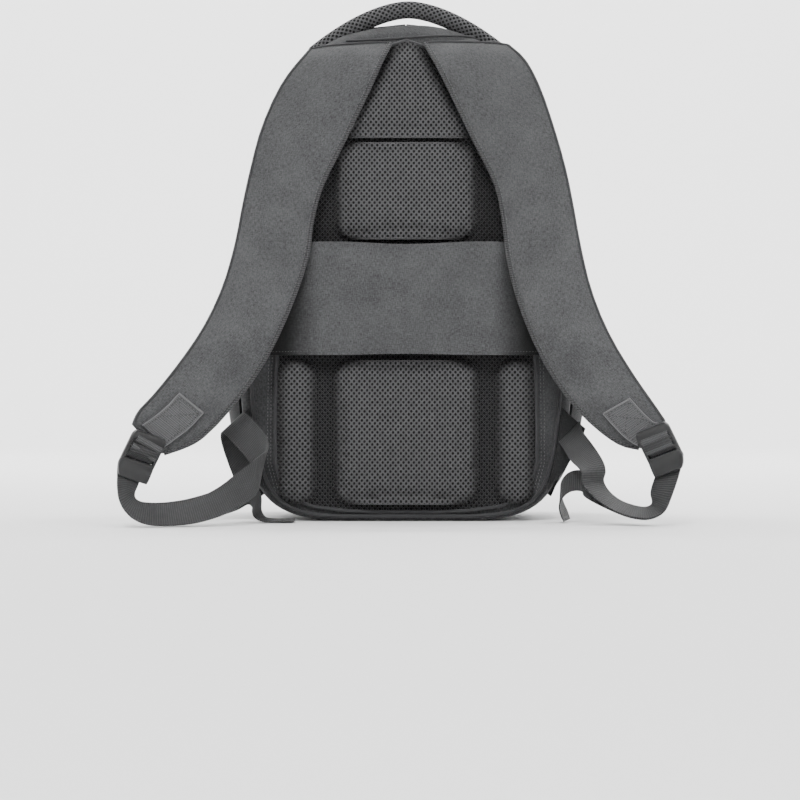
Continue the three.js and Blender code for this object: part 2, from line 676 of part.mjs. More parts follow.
// Ring of points round a path that lies in a plane of constant y
function tubeRings(path, radius, sides) {
  return path.map((p, i) => {
    const ahead = path[Math.min(i + 1, path.length - 1)].clone().sub(path[Math.max(i - 1, 0)]).normalize();
    const side = new THREE.Vector3(-ahead.z, 0, ahead.x);
    return Array.from({ length: sides }, (_, k) => {
      const angle = 2 * Math.PI * k / sides;
      const spot = p.clone().addScaledVector(side, radius * Math.cos(angle));
      spot.y += radius * Math.sin(angle);
      return spot;
    });
  });
}

// Cord seam along the edge of the back, open under the tops of the straps
function addPiping() {
  const half = bodyColumns / 2;
  const around = [...outline.slice(half), ...outline.slice(0, half)];
  const path = around.filter((spot) => spot.z < pipingReach * bodyHeight).map((spot) => new THREE.Vector3(
    spot.x - spot.outward.x * edgeRoundAt(spot.z),
    backY - clearance - pipingRadius,
    spot.z - spot.outward.z * edgeRoundAt(spot.z),
  ));
  place('panel_piping', loft(tubeRings(path, pipingRadius, pipingSides)), 'binding');
}

// Fabric band that stands off the back over the handle of a trolley
function addSleeve() {
  const places = [...sleeveColumns.slice(1).reverse().map((share) => -share), ...sleeveColumns];
  const standAt = (x) => {
    const fall = THREE.MathUtils.smoothstep(Math.abs(x), sleeveFlatHalf, sleeveHemStart);
    return sleeveStand + (clearance + sleeveThick - sleeveStand) * fall;
  };
  const rows = (depth) => [0, 0.33, 0.67, 1].map((up) => places.map((share) => {
    const x = share * sleeveHalfWidth;
    const z = sleeveFoot + (sleeveTop - sleeveFoot) * up;
    return new THREE.Vector3(x, backY - standAt(x) + depth, z);
  }));
  place('luggage_sleeve', wallBetween(rows(0), rows(sleeveThick)), 'strapFabric');
}

// Shoulder straps
const sideSign = { left: -1, right: 1 };

function strapSurface(side) {
  const point = (row, edge) => new THREE.Vector3(
    sideSign[side] * row[edge] * halfWidth,
    backY - strapReach * row[`${edge}Stand`],
    row[`${edge}Up`] * bodyHeight,
  );
  const rows = strapRows[side];
  const outer = new THREE.CatmullRomCurve3(rows.map((row) => point(row, 'out')));
  const inner = new THREE.CatmullRomCurve3(rows.map((row) => point(row, 'in')));
  return (u, v) => inner.getPoint(u).lerp(outer.getPoint(u), v);
}

function strapGrid(side, us, vs) {
  const surface = strapSurface(side);
  const grid = us.map((u) => vs.map((v) => surface(u, v)));
  const normals = gridNormals(grid, false);
  const towards = normals[0][0].y < 0 ? 1 : -1;
  return { grid, normals: normals.map((row) => row.map((n) => n.multiplyScalar(towards))) };
}

// The end of the underside at the top of the strap lies flat on the back
function addStrap(side) {
  const us = Array.from({ length: strapSteps + 1 }, (_, i) => i / strapSteps);
  const { grid, normals } = strapGrid(side, us, strapAcross);
  const rows = strapRows[side];
  const fullness = new THREE.CubicInterpolant(
    Float32Array.from(rows, (_, i) => i / (rows.length - 1)),
    Float32Array.from(rows, (row) => row.full),
    1,
    new Float32Array(1),
  );
  const thickAt = (i) => strapThick * fullness.evaluate(us[i])[0];
  const bend = (v) => Math.abs(2 * v - 1) ** strapEdgePower;
  const face = grid.map((row, i) => row.map((p, c) => p.clone()
    .addScaledVector(normals[i][c], -strapFaceDrop * thickAt(i) * bend(strapAcross[c]))));
  const underside = grid.map((row, i) => row.map((p, c) => p.clone()
    .addScaledVector(normals[i][c], -thickAt(i) * (1 - strapUnderRise * bend(strapAcross[c])))));
  for (const p of underside[0]) p.y = backY - clearance;
  place(`strap_${side}`, wallBetween(face, underside), 'strapFabric');
}

// Webbing patch sewn flat on the end of the strap
function addPatch(side) {
  const surface = strapSurface(side);
  const us = Array.from({ length: patchRows }, (_, i) => (
    THREE.MathUtils.lerp(patchStart, patchEnd, i / (patchRows - 1))));
  const halfShare = (u) => webbingWidth / surface(u, 0).distanceTo(surface(u, 1)) / 2;
  const grid = us.map((u) => [-1, 1].map((k) => surface(u, 0.5 + k * halfShare(u))));
  const normals = gridNormals(grid, false);
  const towards = normals[0][0].y < 0 ? 1 : -1;
  const under = shifted(grid, normals, towards * (clearance + patchEase));
  place(`patch_${side}`, wallBetween(shifted(under, normals, towards * webbingThick), under), 'webbing');
}

// Direction of a width that is turned in the plane of the back and tilted out of it
function widthDirection({ roll, tilt }) {
  const turn = THREE.MathUtils.degToRad(roll);
  const lean = THREE.MathUtils.degToRad(tilt);
  return new THREE.Vector3(
    Math.cos(turn) * Math.cos(lean),
    Math.sin(lean),
    Math.sin(turn) * Math.cos(lean),
  );
}

const wingSeat = wingThick + 2 * clearance + webbingThick / 2;
const centreOf = (row) => new THREE.Vector3(
  row.out * halfWidth,
  backY - wingSeat - strapReach * row.stand,
  row.up * bodyHeight,
);

function buckleFrame(side) {
  const row = buckleRows[side];
  const across = widthDirection(row);
  const turn = THREE.MathUtils.degToRad(row.lengthRoll);
  const along = new THREE.Vector3(Math.cos(turn), 0, Math.sin(turn));
  along.addScaledVector(across, -along.dot(across)).normalize();
  const face = along.clone().cross(across);
  if (face.y > 0) face.negate();
  return { origin: centreOf(row), along, across, face };
}

// Plate with a round top bar, two slots and a thumb tab that flares off the strap
function addBuckle(side) {
  const profile = new THREE.Shape();
  const half = buckleThick / 2;
  const tabMiddle = (tabStart + buckleLength) / 2;
  profile.moveTo(0, -half);
  profile.lineTo(0, half / 2);
  profile.quadraticCurveTo(topBarLength / 3, 1.5 * half, topBarLength, half);
  profile.lineTo(tabStart, half);
  profile.quadraticCurveTo(tabMiddle, half + 1, buckleLength - 1, half + tabRise);
  profile.quadraticCurveTo(buckleLength, half + tabRise, buckleLength, half + tabRise - tabEdge);
  profile.quadraticCurveTo(tabMiddle + 1, 1 - half, tabStart + 1, -half);
  profile.lineTo(0, -half);
  const options = { depth: buckleWidth, bevelEnabled: false, curveSegments: 5 };
  const plate = new THREE.ExtrudeGeometry(profile, options);
  plate.translate(0, 0, -buckleWidth / 2);
  let solid = toManifold(plate);
  for (const start of slotStarts) {
    const hole = new THREE.BoxGeometry(slotLength, 4 * buckleThick, buckleWidth - 2 * buckleRim);
    hole.translate(start + slotLength / 2, 0, 0);
    solid = solid.subtract(toManifold(hole));
  }
  // Corners of the top bar and of the tab are cut round by a tall extruded outline
  const plan = new THREE.Shape();
  const edge = buckleWidth / 2;
  const end = buckleLength + 1;
  plan.moveTo(-1, 0);
  plan.lineTo(-1, edge - buckleCorner);
  plan.quadraticCurveTo(0, edge, buckleCorner, edge);
  plan.lineTo(end - tabCorner, edge);
  plan.quadraticCurveTo(end - 1, edge - 1, end, edge - buckleCorner);
  plan.lineTo(end, buckleCorner - edge);
  plan.quadraticCurveTo(end - 1, 1 - edge, end - tabCorner, -edge);
  plan.lineTo(buckleCorner, -edge);
  plan.quadraticCurveTo(0, -edge, -1, buckleCorner - edge);
  const tall = new THREE.ExtrudeGeometry(plan, { ...options, depth: buckleLength });
  tall.translate(0, 0, -buckleLength / 2);
  tall.rotateX(Math.PI / 2);
  const geometry = fromManifold(solid.intersect(toManifold(tall)));
  const { origin, along, across, face } = buckleFrame(side);
  const basis = new THREE.Matrix4().makeBasis(along, face, along.clone().cross(face));
  geometry.applyMatrix4(basis.setPosition(origin));
  place(`buckle_${side}`, geometry, 'plastic');
}

// Band of webbing through rows of a middle point and a width direction
function webbingRing(rows) {
  const edge = (sign) => new THREE.CatmullRomCurve3(rows.map((row) => {
    const p = row.centre.clone().addScaledVector(row.across, sign * webbingWidth / 2);
    p.z = Math.max(p.z, webbingThick);
    return p;
  }));
  const [near, far] = [edge(-1), edge(1)];
  const count = (rows.length - 1) * stepsPerRow;
  const shares = Array.from({ length: count + 1 }, (_, i) => i / count);
  const grid = shares.map((share) => [near.getPoint(share), far.getPoint(share)]);
  const normals = gridNormals(grid, false);
  return wallBetween(shifted(grid, normals, webbingThick / 2), shifted(grid, normals, -webbingThick / 2));
}

const webbingRow = (row) => ({ centre: centreOf(row), across: widthDirection(row) });

// A row at a place along the buckle and above its middle plane
function rowInBuckle(side, length, height) {
  const { origin, along, across, face } = buckleFrame(side);
  return { centre: origin.clone().addScaledVector(along, length).addScaledVector(face, height), across };
}

// Middle of a band that lies just off the plate of the buckle, and places along it
const barRise = buckleThick / 2 + clearance + webbingThick / 2;
const bar = (slotStarts[0] + slotLength + slotStarts[1]) / 2;
const firstSlot = slotStarts[0] + slotLength / 2;
const secondSlot = slotStarts[1] + slotLength / 2;
const slotEnd = slotStarts[1] + slotLength + 2;
const tabPlace = buckleLength - tabCorner + 4;
const tabDrop = 2;
const slotDrop = 1.6;
const barCrossing = 1.5;

function addWebbing(side) {
  const rows = [
    ...webbingRows[side].map(webbingRow),
    rowInBuckle(side, tabPlace, -barRise - tabDrop),
    rowInBuckle(side, slotEnd, -barRise - slotDrop),
    rowInBuckle(side, secondSlot, 0),
    rowInBuckle(side, bar + barCrossing, barRise + clearance),
    rowInBuckle(side, bar - barCrossing, barRise + clearance),
    rowInBuckle(side, firstSlot, 0),
    rowInBuckle(side, firstSlot + 1, -barRise - clearance),
  ];
  place(`webbing_${side}`, webbingRing(rows), 'webbing');
}

// The free end leaves the buckle, lies along the webbing and then hangs by itself
function addTail(side) {
  const loop = webbingRows[side].map(webbingRow);
  const beside = loop.map((row, i) => {
    const ahead = loop[Math.min(i + 1, loop.length - 1)].centre.clone().sub(loop[Math.max(i - 1, 0)].centre);
    const away = ahead.cross(row.across).normalize().multiplyScalar(-sideSign[side] * layerGap);
    const centre = row.centre.clone().add(away).addScaledVector(row.across, layerShift);
    return { centre, across: row.across };
  });
  const rows = [
    rowInBuckle(side, firstSlot + 4, -barRise - webbingThick - 3 * clearance),
    rowInBuckle(side, slotEnd, -barRise - slotDrop - webbingThick - 2 * clearance),
    rowInBuckle(side, tabPlace, -barRise - tabDrop - webbingThick - 3 * clearance),
    ...beside.slice(tailLeaves[side]).reverse(),
    ...tailRows[side].map(webbingRow),
  ];
  place(`tail_${side}`, webbingRing(rows), 'webbing');
}

function addWing(side) {
  const seam = (up) => halfAt(up * bodyHeight) * halfWidth - backRound + pipingRadius + 2 * clearance;
  const corner = (up, reach) => new THREE.Vector2(sideSign[side] * (seam(up) + reach), up * bodyHeight);
  const outer = wingRows.map((row) => corner(row.up, row.reach));
  const inner = wingRows.slice(1, -1).reverse().map((row) => corner(row.up, 0));
  const shape = new THREE.Shape([...outer, ...inner]);
  const sheet = new THREE.ExtrudeGeometry(shape, { depth: wingThick, bevelEnabled: false });
  sheet.rotateX(Math.PI / 2);
  sheet.translate(0, backY - clearance, 0);
  place(`wing_${side}`, sheet, 'bodyFabric');
}

// Padded tube over the top, its feet cut to the body
function addHandle() {
  const path = Array.from({ length: handleSteps + 1 }, (_, i) => {
    const share = handleReach * (2 * i / handleSteps - 1);
    const rise = handleRise * (1 - Math.abs(share) ** handleCurve);
    const x = handleOffset + share * handleHalfSpan;
    return new THREE.Vector3(x, backY + handleBack, handleFootHeight + rise);
  });
  const rings = [...rearRings(clearance), ...frontRings()];
  const body = loft(rings.filter((ring) => ring[0].distanceTo(ring[bodyColumns / 2]) > mergeTolerance));
  const tube = toManifold(loft(tubeRings(path, handleRadius, handleSides)));
  place('grab_handle', fromManifold(tube.subtract(toManifold(body))), 'airMesh');
}

addBody();
addMainZip();
addSliders();
addFrontPocket();
addSidePocket('side_pocket_left', -1);
addSidePocket('side_pocket_right', 1);
addBackPanel();
addPiping();
addSleeve();
for (const side of ['left', 'right']) {
  addStrap(side);
  addPatch(side);
  addBuckle(side);
  addWebbing(side);
  addTail(side);
  addWing(side);
}
addHandle();

export default group;
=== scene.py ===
import math

import bmesh
import bpy
import numpy as np
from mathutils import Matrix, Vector
from mathutils.bvhtree import BVHTree
from mathutils.kdtree import KDTree


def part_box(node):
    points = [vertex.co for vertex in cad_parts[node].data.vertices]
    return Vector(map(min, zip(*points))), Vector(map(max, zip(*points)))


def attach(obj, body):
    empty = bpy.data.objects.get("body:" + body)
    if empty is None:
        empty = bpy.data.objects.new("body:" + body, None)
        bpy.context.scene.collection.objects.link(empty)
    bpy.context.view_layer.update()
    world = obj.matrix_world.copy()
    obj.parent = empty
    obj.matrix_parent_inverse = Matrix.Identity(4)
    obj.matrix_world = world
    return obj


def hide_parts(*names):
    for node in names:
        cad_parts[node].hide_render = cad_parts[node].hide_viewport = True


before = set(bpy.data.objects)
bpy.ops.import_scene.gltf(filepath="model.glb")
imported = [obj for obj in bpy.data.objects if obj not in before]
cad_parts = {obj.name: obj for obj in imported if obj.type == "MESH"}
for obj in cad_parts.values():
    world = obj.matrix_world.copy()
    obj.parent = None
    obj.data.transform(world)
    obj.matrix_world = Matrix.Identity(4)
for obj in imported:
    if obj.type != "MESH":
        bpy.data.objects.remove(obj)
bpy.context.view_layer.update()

scene = bpy.context.scene
mm = 0.001


# Small helpers for picking, editing and finishing a piece

def pickOnly(piece):
    if bpy.context.object and bpy.context.object.mode != "OBJECT":
        bpy.ops.object.mode_set(mode="OBJECT")
    bpy.ops.object.select_all(action="DESELECT")
    piece.select_set(True)
    bpy.context.view_layer.objects.active = piece


def startEdit(piece, kind="FACE"):
    pickOnly(piece)
    bpy.ops.object.mode_set(mode="EDIT")
    bpy.ops.mesh.select_mode(type=kind)
    bpy.ops.mesh.select_all(action="SELECT")


def endEdit():
    bpy.ops.object.mode_set(mode="OBJECT")


def pickFaces(piece, test):
    cage = bmesh.from_edit_mesh(piece.data)
    for face in cage.faces:
        face.select_set(bool(test(face)))
    bmesh.update_edit_mesh(piece.data)


def pickEdges(piece, test):
    cage = bmesh.from_edit_mesh(piece.data)
    for edge in cage.edges:
        edge.select_set(False)
    for edge in cage.edges:
        if test(edge):
            edge.select_set(True)
    bmesh.update_edit_mesh(piece.data)


def addModifier(piece, kind, **settings):
    pickOnly(piece)
    modifier = piece.modifiers.new(kind.lower(), kind)
    for key, value in settings.items():
        setattr(modifier, key, value)
    bpy.ops.object.modifier_apply(modifier=modifier.name)


def subdivide(piece, levels):
    addModifier(piece, "SUBSURF", levels=levels, render_levels=levels, boundary_smooth="PRESERVE_CORNERS")


def toQuads(piece, faceAngle=60, shapeAngle=70):
    startEdit(piece)
    bpy.ops.mesh.tris_convert_to_quads(face_threshold=math.radians(faceAngle),
                                       shape_threshold=math.radians(shapeAngle))
    endEdit()


def mergeFlat(piece):
    startEdit(piece)
    bpy.ops.mesh.dissolve_limited(angle_limit=math.radians(2))
    endEdit()


def pointsOf(piece):
    flat = np.zeros(len(piece.data.vertices) * 3)
    piece.data.vertices.foreach_get("co", flat)
    return flat.reshape(-1, 3)


def movePoints(piece, points):
    piece.data.vertices.foreach_set("co", np.asarray(points, dtype=np.float32).ravel())
    piece.data.update()


def normalsOf(piece):
    flat = np.zeros(len(piece.data.vertices) * 3)
    piece.data.vertices.foreach_get("normal", flat)
    return flat.reshape(-1, 3)


def settle(piece, nodes=(), smooth=40):
    pickOnly(piece)
    bpy.ops.object.shade_smooth_by_angle(angle=math.radians(smooth))
    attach(piece, "root")
    if nodes:
        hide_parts(*nodes)
    return piece


def takeNode(node, name):  # a merged copy of the solid, ready for modelling
    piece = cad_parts[node].copy()
    piece.data = piece.data.copy()
    piece.name = piece.data.name = name
    for key in list(piece.keys()):
        del piece[key]
    piece.parent = None
    piece.hide_render = piece.hide_viewport = False
    piece.data.materials.clear()
    scene.collection.objects.link(piece)
    pickOnly(piece)
    bpy.ops.mesh.customdata_custom_splitnormals_clear()
    startEdit(piece)
    bpy.ops.mesh.remove_doubles(threshold=0.01 * mm)
    endEdit()
    return piece


def drop(piece):
    bpy.data.objects.remove(piece, do_unlink=True)


def meshPiece(name, points, faces):
    mesh = bpy.data.meshes.new(name)
    mesh.from_pydata(points, [], faces)
    piece = bpy.data.objects.new(name, mesh)
    scene.collection.objects.link(piece)
    return piece


def treeFrom(piece):
    mesh = piece.data
    return BVHTree.FromPolygons([v.co for v in mesh.vertices], [p.vertices for p in mesh.polygons])


def treeOf(node):
    piece = takeNode(node, "probe")
    tree = treeFrom(piece)
    drop(piece)
    return tree


# Unpicking a solid: its sheets, their edges and the two long sides of a band

def unpick(node, name, score, sharp=50):
    piece = takeNode(node, name)
    cage = bmesh.new()
    cage.from_mesh(piece.data)
    limit = math.radians(sharp)
    folds = [e for e in cage.edges if len(e.link_faces) == 2 and e.calc_face_angle(0) > limit]
    bmesh.ops.split_edges(cage, edges=folds)
    islands, left = [], set(cage.faces)
    while left:
        island, queue = [], [left.pop()]
        while queue:
            face = queue.pop()
            island.append(face)
            for edge in face.edges:
                for other in edge.link_faces:
                    if other in left:
                        left.remove(other)
                        queue.append(other)
        islands.append(island)
    kept = set(max(islands, key=score))
    bmesh.ops.delete(cage, geom=[f for f in cage.faces if f not in kept], context="FACES")
    cage.to_mesh(piece.data)
    cage.free()
    return piece


def area(island):
    return sum(face.calc_area() for face in island)


def facing(island, direction):
    total = sum((f.normal * f.calc_area() for f in island), Vector())
    return area(island) if total.dot(direction) > 0 else 0


def rimLoops(cage):
    left = {v for v in cage.verts if any(e.is_boundary for e in v.link_edges)}
    loops = []
    while left:
        loop = [min(left, key=lambda v: v.index)]
        while loop:
            left.discard(loop[-1])
            onwards = [e.other_vert(loop[-1]) for e in loop[-1].link_edges if e.is_boundary]
            onwards = [v for v in onwards if v in left]
            if not onwards:
                break
            loop.append(onwards[0])
        loops.append([v.co.copy() for v in loop])
    return loops


def longestRim(piece):
    return max(rimsOf(piece), key=len)


def rimsOf(piece):
    cage = bmesh.new()
    cage.from_mesh(piece.data)
    cage.verts.ensure_lookup_table()
    rims = rimLoops(cage)
    cage.free()
    return rims


def sheetSides(node, score):  # both long sides of the sheet on one face of a solid
    piece = unpick(node, "probe", score)
    loop = longestRim(piece)
    drop(piece)
    count = len(loop)
    turns = [(loop[i] - loop[i - 1]).angle(loop[(i + 1) % count] - loop[i], 0) for i in range(count)]
    corners = sorted(sorted(range(count), key=lambda i: -turns[i])[:4])
    chains = []
    for first, last in zip(corners, corners[1:] + [corners[0] + count]):
        chains.append([loop[i % count] for i in range(first, last + 1)])
    one, two = sorted(chains, key=len)[-2:]
    return one, alike(one, two)


def alike(one, two):  # the second side turned to run as the first does
    same = (one[0] - two[0]).length + (one[-1] - two[-1]).length
    turned = (one[0] - two[-1]).length + (one[-1] - two[0]).length
    return two[::-1] if same > turned else two


def foldedSide(loop):  # the middle line of a loop that runs there and back
    count = len(loop)
    half = count // 2

    def gap(start):
        return sum((loop[(start + i) % count] - loop[(start - 1 - i) % count]).length for i in range(half))

    start = min(range(count), key=gap)
    line = [(loop[(start + i) % count] + loop[(start - 1 - i) % count]) / 2 for i in range(half)]
    return line, gap(start) / half


def bandSides(node, width):
    piece = takeNode(node, "probe")
    cage = bmesh.new()
    cage.from_mesh(piece.data)
    walls = [f for f in cage.faces if max(e.calc_length() for e in f.edges) < 0.7 * width]
    bmesh.ops.delete(cage, geom=walls, context="FACES")
    cage.verts.ensure_lookup_table()
    loops = sorted(rimLoops(cage), key=len)[-2:]
    cage.free()
    drop(piece)
    (one, thick), (two, _) = foldedSide(loops[0]), foldedSide(loops[1])
    return one, alike(one, two), thick


# A sheet shaped from a flat grid, with its own sizes in metres as its UV map

def gridPiece(name, rows):
    count, columns = len(rows), len(rows[0])
    bpy.ops.object.select_all(action="DESELECT")
    bpy.ops.mesh.primitive_grid_add(x_subdivisions=columns - 1, y_subdivisions=count - 1, size=2)
    piece = bpy.context.object
    piece.name = piece.data.name = name
    flat = pointsOf(piece)
    column = np.rint((flat[:, 0] + 1) / 2 * (columns - 1)).astype(int)
    row = np.rint((flat[:, 1] + 1) / 2 * (count - 1)).astype(int)
    table = np.array([[list(p) for p in line] for line in rows])
    along = np.linalg.norm(np.diff(table.mean(axis=1), axis=0), axis=1)
    lengths = np.concatenate([[0], np.cumsum(along)])
    uvMap = piece.data.uv_layers[0]
    for loop in piece.data.loops:
        c, r = column[loop.vertex_index], row[loop.vertex_index]
        across = np.linalg.norm(table[r, -1] - table[r, 0])
        uvMap.data[loop.index].uv = ((c / (columns - 1) - 0.5) * across, lengths[r])
    movePoints(piece, table[row, column])
    return piece


def faceTowards(piece, direction):
    total = Vector((0, 0, 0))
    for face in piece.data.polygons:
        total += face.normal * face.area
    if total.dot(Vector(direction)) < 0:
        startEdit(piece)
        bpy.ops.mesh.flip_normals()
        endEdit()


# Cloth under pressure, its result applied and kept near the start

def inflate(piece, pressure, cap, pin="", frames=20):
    before = pointsOf(piece)
    pickOnly(piece)
    cloth = piece.modifiers.new("inflate", "CLOTH")
    cloth.settings.quality = 6
    cloth.settings.mass = 0.2
    cloth.settings.use_pressure = True
    cloth.settings.uniform_pressure_force = pressure
    cloth.settings.effector_weights.gravity = 0
    cloth.settings.vertex_group_mass = pin
    cloth.collision_settings.use_collision = False
    cloth.point_cache.frame_start = 1
    cloth.point_cache.frame_end = frames
    for number in range(1, frames + 1):
        scene.frame_set(number)
    bpy.ops.object.modifier_apply(modifier="inflate")
    scene.frame_set(1)
    moved = pointsOf(piece) - before
    length = np.maximum(np.linalg.norm(moved, axis=1, keepdims=True), 1e-9)
    movePoints(piece, before + moved * np.minimum(1, cap / length))


def crumple(piece, size, depth, mask=None):  # soft uneven fullness
    texture = bpy.data.textures.new(f"{piece.name}_soft", "CLOUDS")
    texture.noise_scale = size
    settings = {"texture": texture, "strength": depth, "mid_level": 0.5, "texture_coords": "LOCAL"}
    if mask is not None:
        group = piece.vertex_groups.new(name="loose")
        for index, weight in enumerate(mask):
            group.add([index], float(weight), "REPLACE")
        settings["vertex_group"] = "loose"
    addModifier(piece, "DISPLACE", **settings)


def pressCrease(piece, start, end, width, depth):
    points, normals = pointsOf(piece), normalsOf(piece)
    a, b = np.array(start), np.array(end)
    share = np.clip((points - a) @ (b - a) / ((b - a) @ (b - a)), 0, 1)
    away = np.linalg.norm(points - (a + share[:, None] * (b - a)), axis=1)
    fade = np.sin(np.pi * np.clip(share, 0.02, 0.98))
    movePoints(piece, points - normals * (depth * fade * np.exp(-(away / width) ** 2))[:, None])


# Tubes and rows of stitches

def tubeAlong(name, points, radius, closed=False, sides=3):
    curve = bpy.data.curves.new(name, "CURVE")
    curve.dimensions = "3D"
    curve.bevel_depth = radius
    curve.bevel_resolution = sides
    curve.use_fill_caps = True
    spline = curve.splines.new("POLY")
    spline.points.add(len(points) - 1)
    for spot, point in zip(spline.points, points):
        spot.co = (*point, 1)
    spline.use_cyclic_u = closed
    piece = bpy.data.objects.new(name, curve)
    scene.collection.objects.link(piece)
    pickOnly(piece)
    bpy.ops.object.convert(target="MESH")
    return bpy.context.object


def cordPiece(name, points, radius, finish, closed=False):
    cord = tubeAlong(name, points, radius, closed)
    cord.data.materials.append(finish)
    return settle(cord, smooth=60)


stitch = {"pitch": 3.4 * mm, "length": 2.3 * mm, "thick": 0.32 * mm}


def resample(points, step):
    line = np.array([list(p) for p in points])
    along = np.concatenate([[0], np.cumsum(np.linalg.norm(np.diff(line, axis=0), axis=1))])
    places = np.arange(step / 2, along[-1], step)
    return np.stack([np.interp(places, along, line[:, k]) for k in range(3)], axis=1)


def stitchPiece(name, lines, finish, thick=stitch["thick"]):
    bpy.ops.object.select_all(action="DESELECT")
    bpy.ops.mesh.primitive_ico_sphere_add(subdivisions=1, radius=1)
    model = bpy.context.object
    shape = pointsOf(model) * (stitch["length"] / 2, thick, thick)
    faces = np.array([list(p.vertices) for p in model.data.polygons])
    drop(model)
    allPoints, allFaces = [], []
    for line in lines:
        spots = resample(line, stitch["pitch"])
        ends = resample(line, stitch["pitch"] / 2)
        for index, spot in enumerate(spots):
            ahead = ends[min(2 * index + 1, len(ends) - 1)] - ends[max(2 * index - 1, 0)]
            turn = Vector(ahead).to_track_quat("X", "Z").to_matrix()
            allFaces.append(faces + len(shape) * len(allPoints))
            allPoints.append(shape @ np.array(turn).T + spot)
    piece = meshPiece(name, np.concatenate(allPoints).tolist(), np.concatenate(allFaces).tolist())
    piece.data.materials.append(finish)
    return settle(piece, smooth=180)


# Finishes. The plane of a cloth is its UV map, or its width and height in the object

def newFinish(name, roughness, sheen=0.0, specular=0.3):
    finish = bpy.data.materials.new(name)
    finish.use_nodes = True
    shader = finish.node_tree.nodes["Principled BSDF"]
    shader.inputs["Roughness"].default_value = roughness
    shader.inputs["Sheen Weight"].default_value = sheen
    shader.inputs["Sheen Roughness"].default_value = 0.5
    shader.inputs["Specular IOR Level"].default_value = specular
    return finish, finish.node_tree, shader


def addNode(tree, kind, inputs=None, **settings):
    node = tree.nodes.new(kind)
    for key, value in settings.items():
        setattr(node, key, value)
    for key, value in (inputs or {}).items():
        if isinstance(value, bpy.types.NodeSocket):
            tree.links.new(value, node.inputs[key])
        else:
            node.inputs[key].default_value = value
    return node.outputs[0]


def maths(tree, operation, a, b=0.0):
    return addNode(tree, "ShaderNodeMath", {0: a, 1: b}, operation=operation)


def clothPlane(tree, mapped):
    coordinates = tree.nodes.new("ShaderNodeTexCoord")
    if mapped:
        return coordinates.outputs["UV"]
    parts = tree.nodes.new("ShaderNodeSeparateXYZ")
    tree.links.new(coordinates.outputs["Object"], parts.inputs[0])
    sideways = maths(tree, "ADD", parts.outputs[0], parts.outputs[1])
    return addNode(tree, "ShaderNodeCombineXYZ", {0: sideways, 1: parts.outputs[2]})


def stretched(tree, plane, across, along, detail=2.0):
    scale = (1 / across, 1 / along, 1 / across)
    place = addNode(tree, "ShaderNodeMapping", {"Vector": plane, "Scale": scale})
    return addNode(tree, "ShaderNodeTexNoise",
                   {"Vector": place, "Scale": 1.0, "Detail": detail, "Roughness": 0.6})


def ribs(tree, plane, pitch, direction):
    scale = math.pi / (10 * pitch)
    return addNode(tree, "ShaderNodeTexWave", {"Vector": plane, "Scale": scale}, wave_type="BANDS",
                   bands_direction=direction, wave_profile="SIN")


def blendColours(tree, factor, first, second):
    ramp = tree.nodes.new("ShaderNodeValToRGB")
    tree.links.new(factor, ramp.inputs[0])
    ramp.color_ramp.elements[0].color = (*first, 1)
    ramp.color_ramp.elements[1].color = (*second, 1)
    return ramp


def raiseBy(tree, shader, height, strength, distance):
    bump = tree.nodes.new("ShaderNodeBump")
    bump.inputs["Strength"].default_value = strength
    bump.inputs["Distance"].default_value = distance
    tree.links.new(height, bump.inputs["Height"])
    tree.links.new(bump.outputs[0], shader.inputs["Normal"])


melange = {
    "dark": (0.025, 0.0255, 0.0265),
    "light": (0.084, 0.085, 0.087),
    "streak": 0.8 * mm,
    "streakLength": 3.6 * mm,
    "thread": 0.62 * mm,
    "weaveDepth": 0.14 * mm,
}


def paintedEdgeShade(tree, colour, value):  # painted shade: colour darkened towards an edge that the piece's own attribute marks
    painted_shade = tree.nodes.new("ShaderNodeAttribute")
    painted_shade.attribute_name = "painted_shade"
    darker = addNode(tree, "ShaderNodeHueSaturation", {"Color": colour, "Value": value})
    blend = tree.nodes.new("ShaderNodeMix")
    blend.data_type = "RGBA"
    tree.links.new(painted_shade.outputs["Fac"], blend.inputs[0])
    tree.links.new(colour, blend.inputs[6])
    tree.links.new(darker, blend.inputs[7])
    return blend.outputs[2]


# how much painted shade each point gets, from 0 to 1
def markPaintedShade(piece, values):
    painted_shade = piece.data.attributes.new("painted_shade", "FLOAT", "POINT")
    painted_shade.data.foreach_set("value", np.clip(values, 0, 1))


def melangeFinish(name, mapped, shade=1.0, edgeShade=0.0):
    finish, tree, shader = newFinish(name, 0.92, sheen=0.12, specular=0.2)
    plane = clothPlane(tree, mapped)
    warp = stretched(tree, plane, melange["streak"], melange["streakLength"])
    weft = stretched(tree, plane, melange["streakLength"], melange["streak"])
    cloudy = stretched(tree, plane, 38 * mm, 38 * mm)
    mixed = maths(tree, "ADD", maths(tree, "MULTIPLY", warp, 0.55), maths(tree, "MULTIPLY", weft, 0.45))
    mixed = maths(tree, "ADD", mixed, maths(tree, "MULTIPLY", maths(tree, "SUBTRACT", cloudy, 0.5), 0.25))
    dark, light = ([c * shade for c in melange[key]] for key in ("dark", "light"))
    ramp = blendColours(tree, mixed, dark, light)
    ramp.color_ramp.elements[0].position = 0.33
    ramp.color_ramp.elements[1].position = 0.67
    colour = paintedEdgeShade(tree, ramp.outputs[0], edgeShade) if edgeShade else ramp.outputs[0]
    tree.links.new(colour, shader.inputs["Base Color"])
    over = ribs(tree, plane, melange["thread"], "X")
    under = ribs(tree, plane, melange["thread"], "Y")
    weave = maths(tree, "ADD", maths(tree, "MULTIPLY", over, under), mixed)
    raiseBy(tree, shader, weave, 0.6, melange["weaveDepth"])
    return finish


webbingLook = {
    "dark": (0.012, 0.012, 0.0125),
    "light": (0.052, 0.0525, 0.054),
    "rib": 1.5 * mm,
    "pick": 2.0 * mm,
}


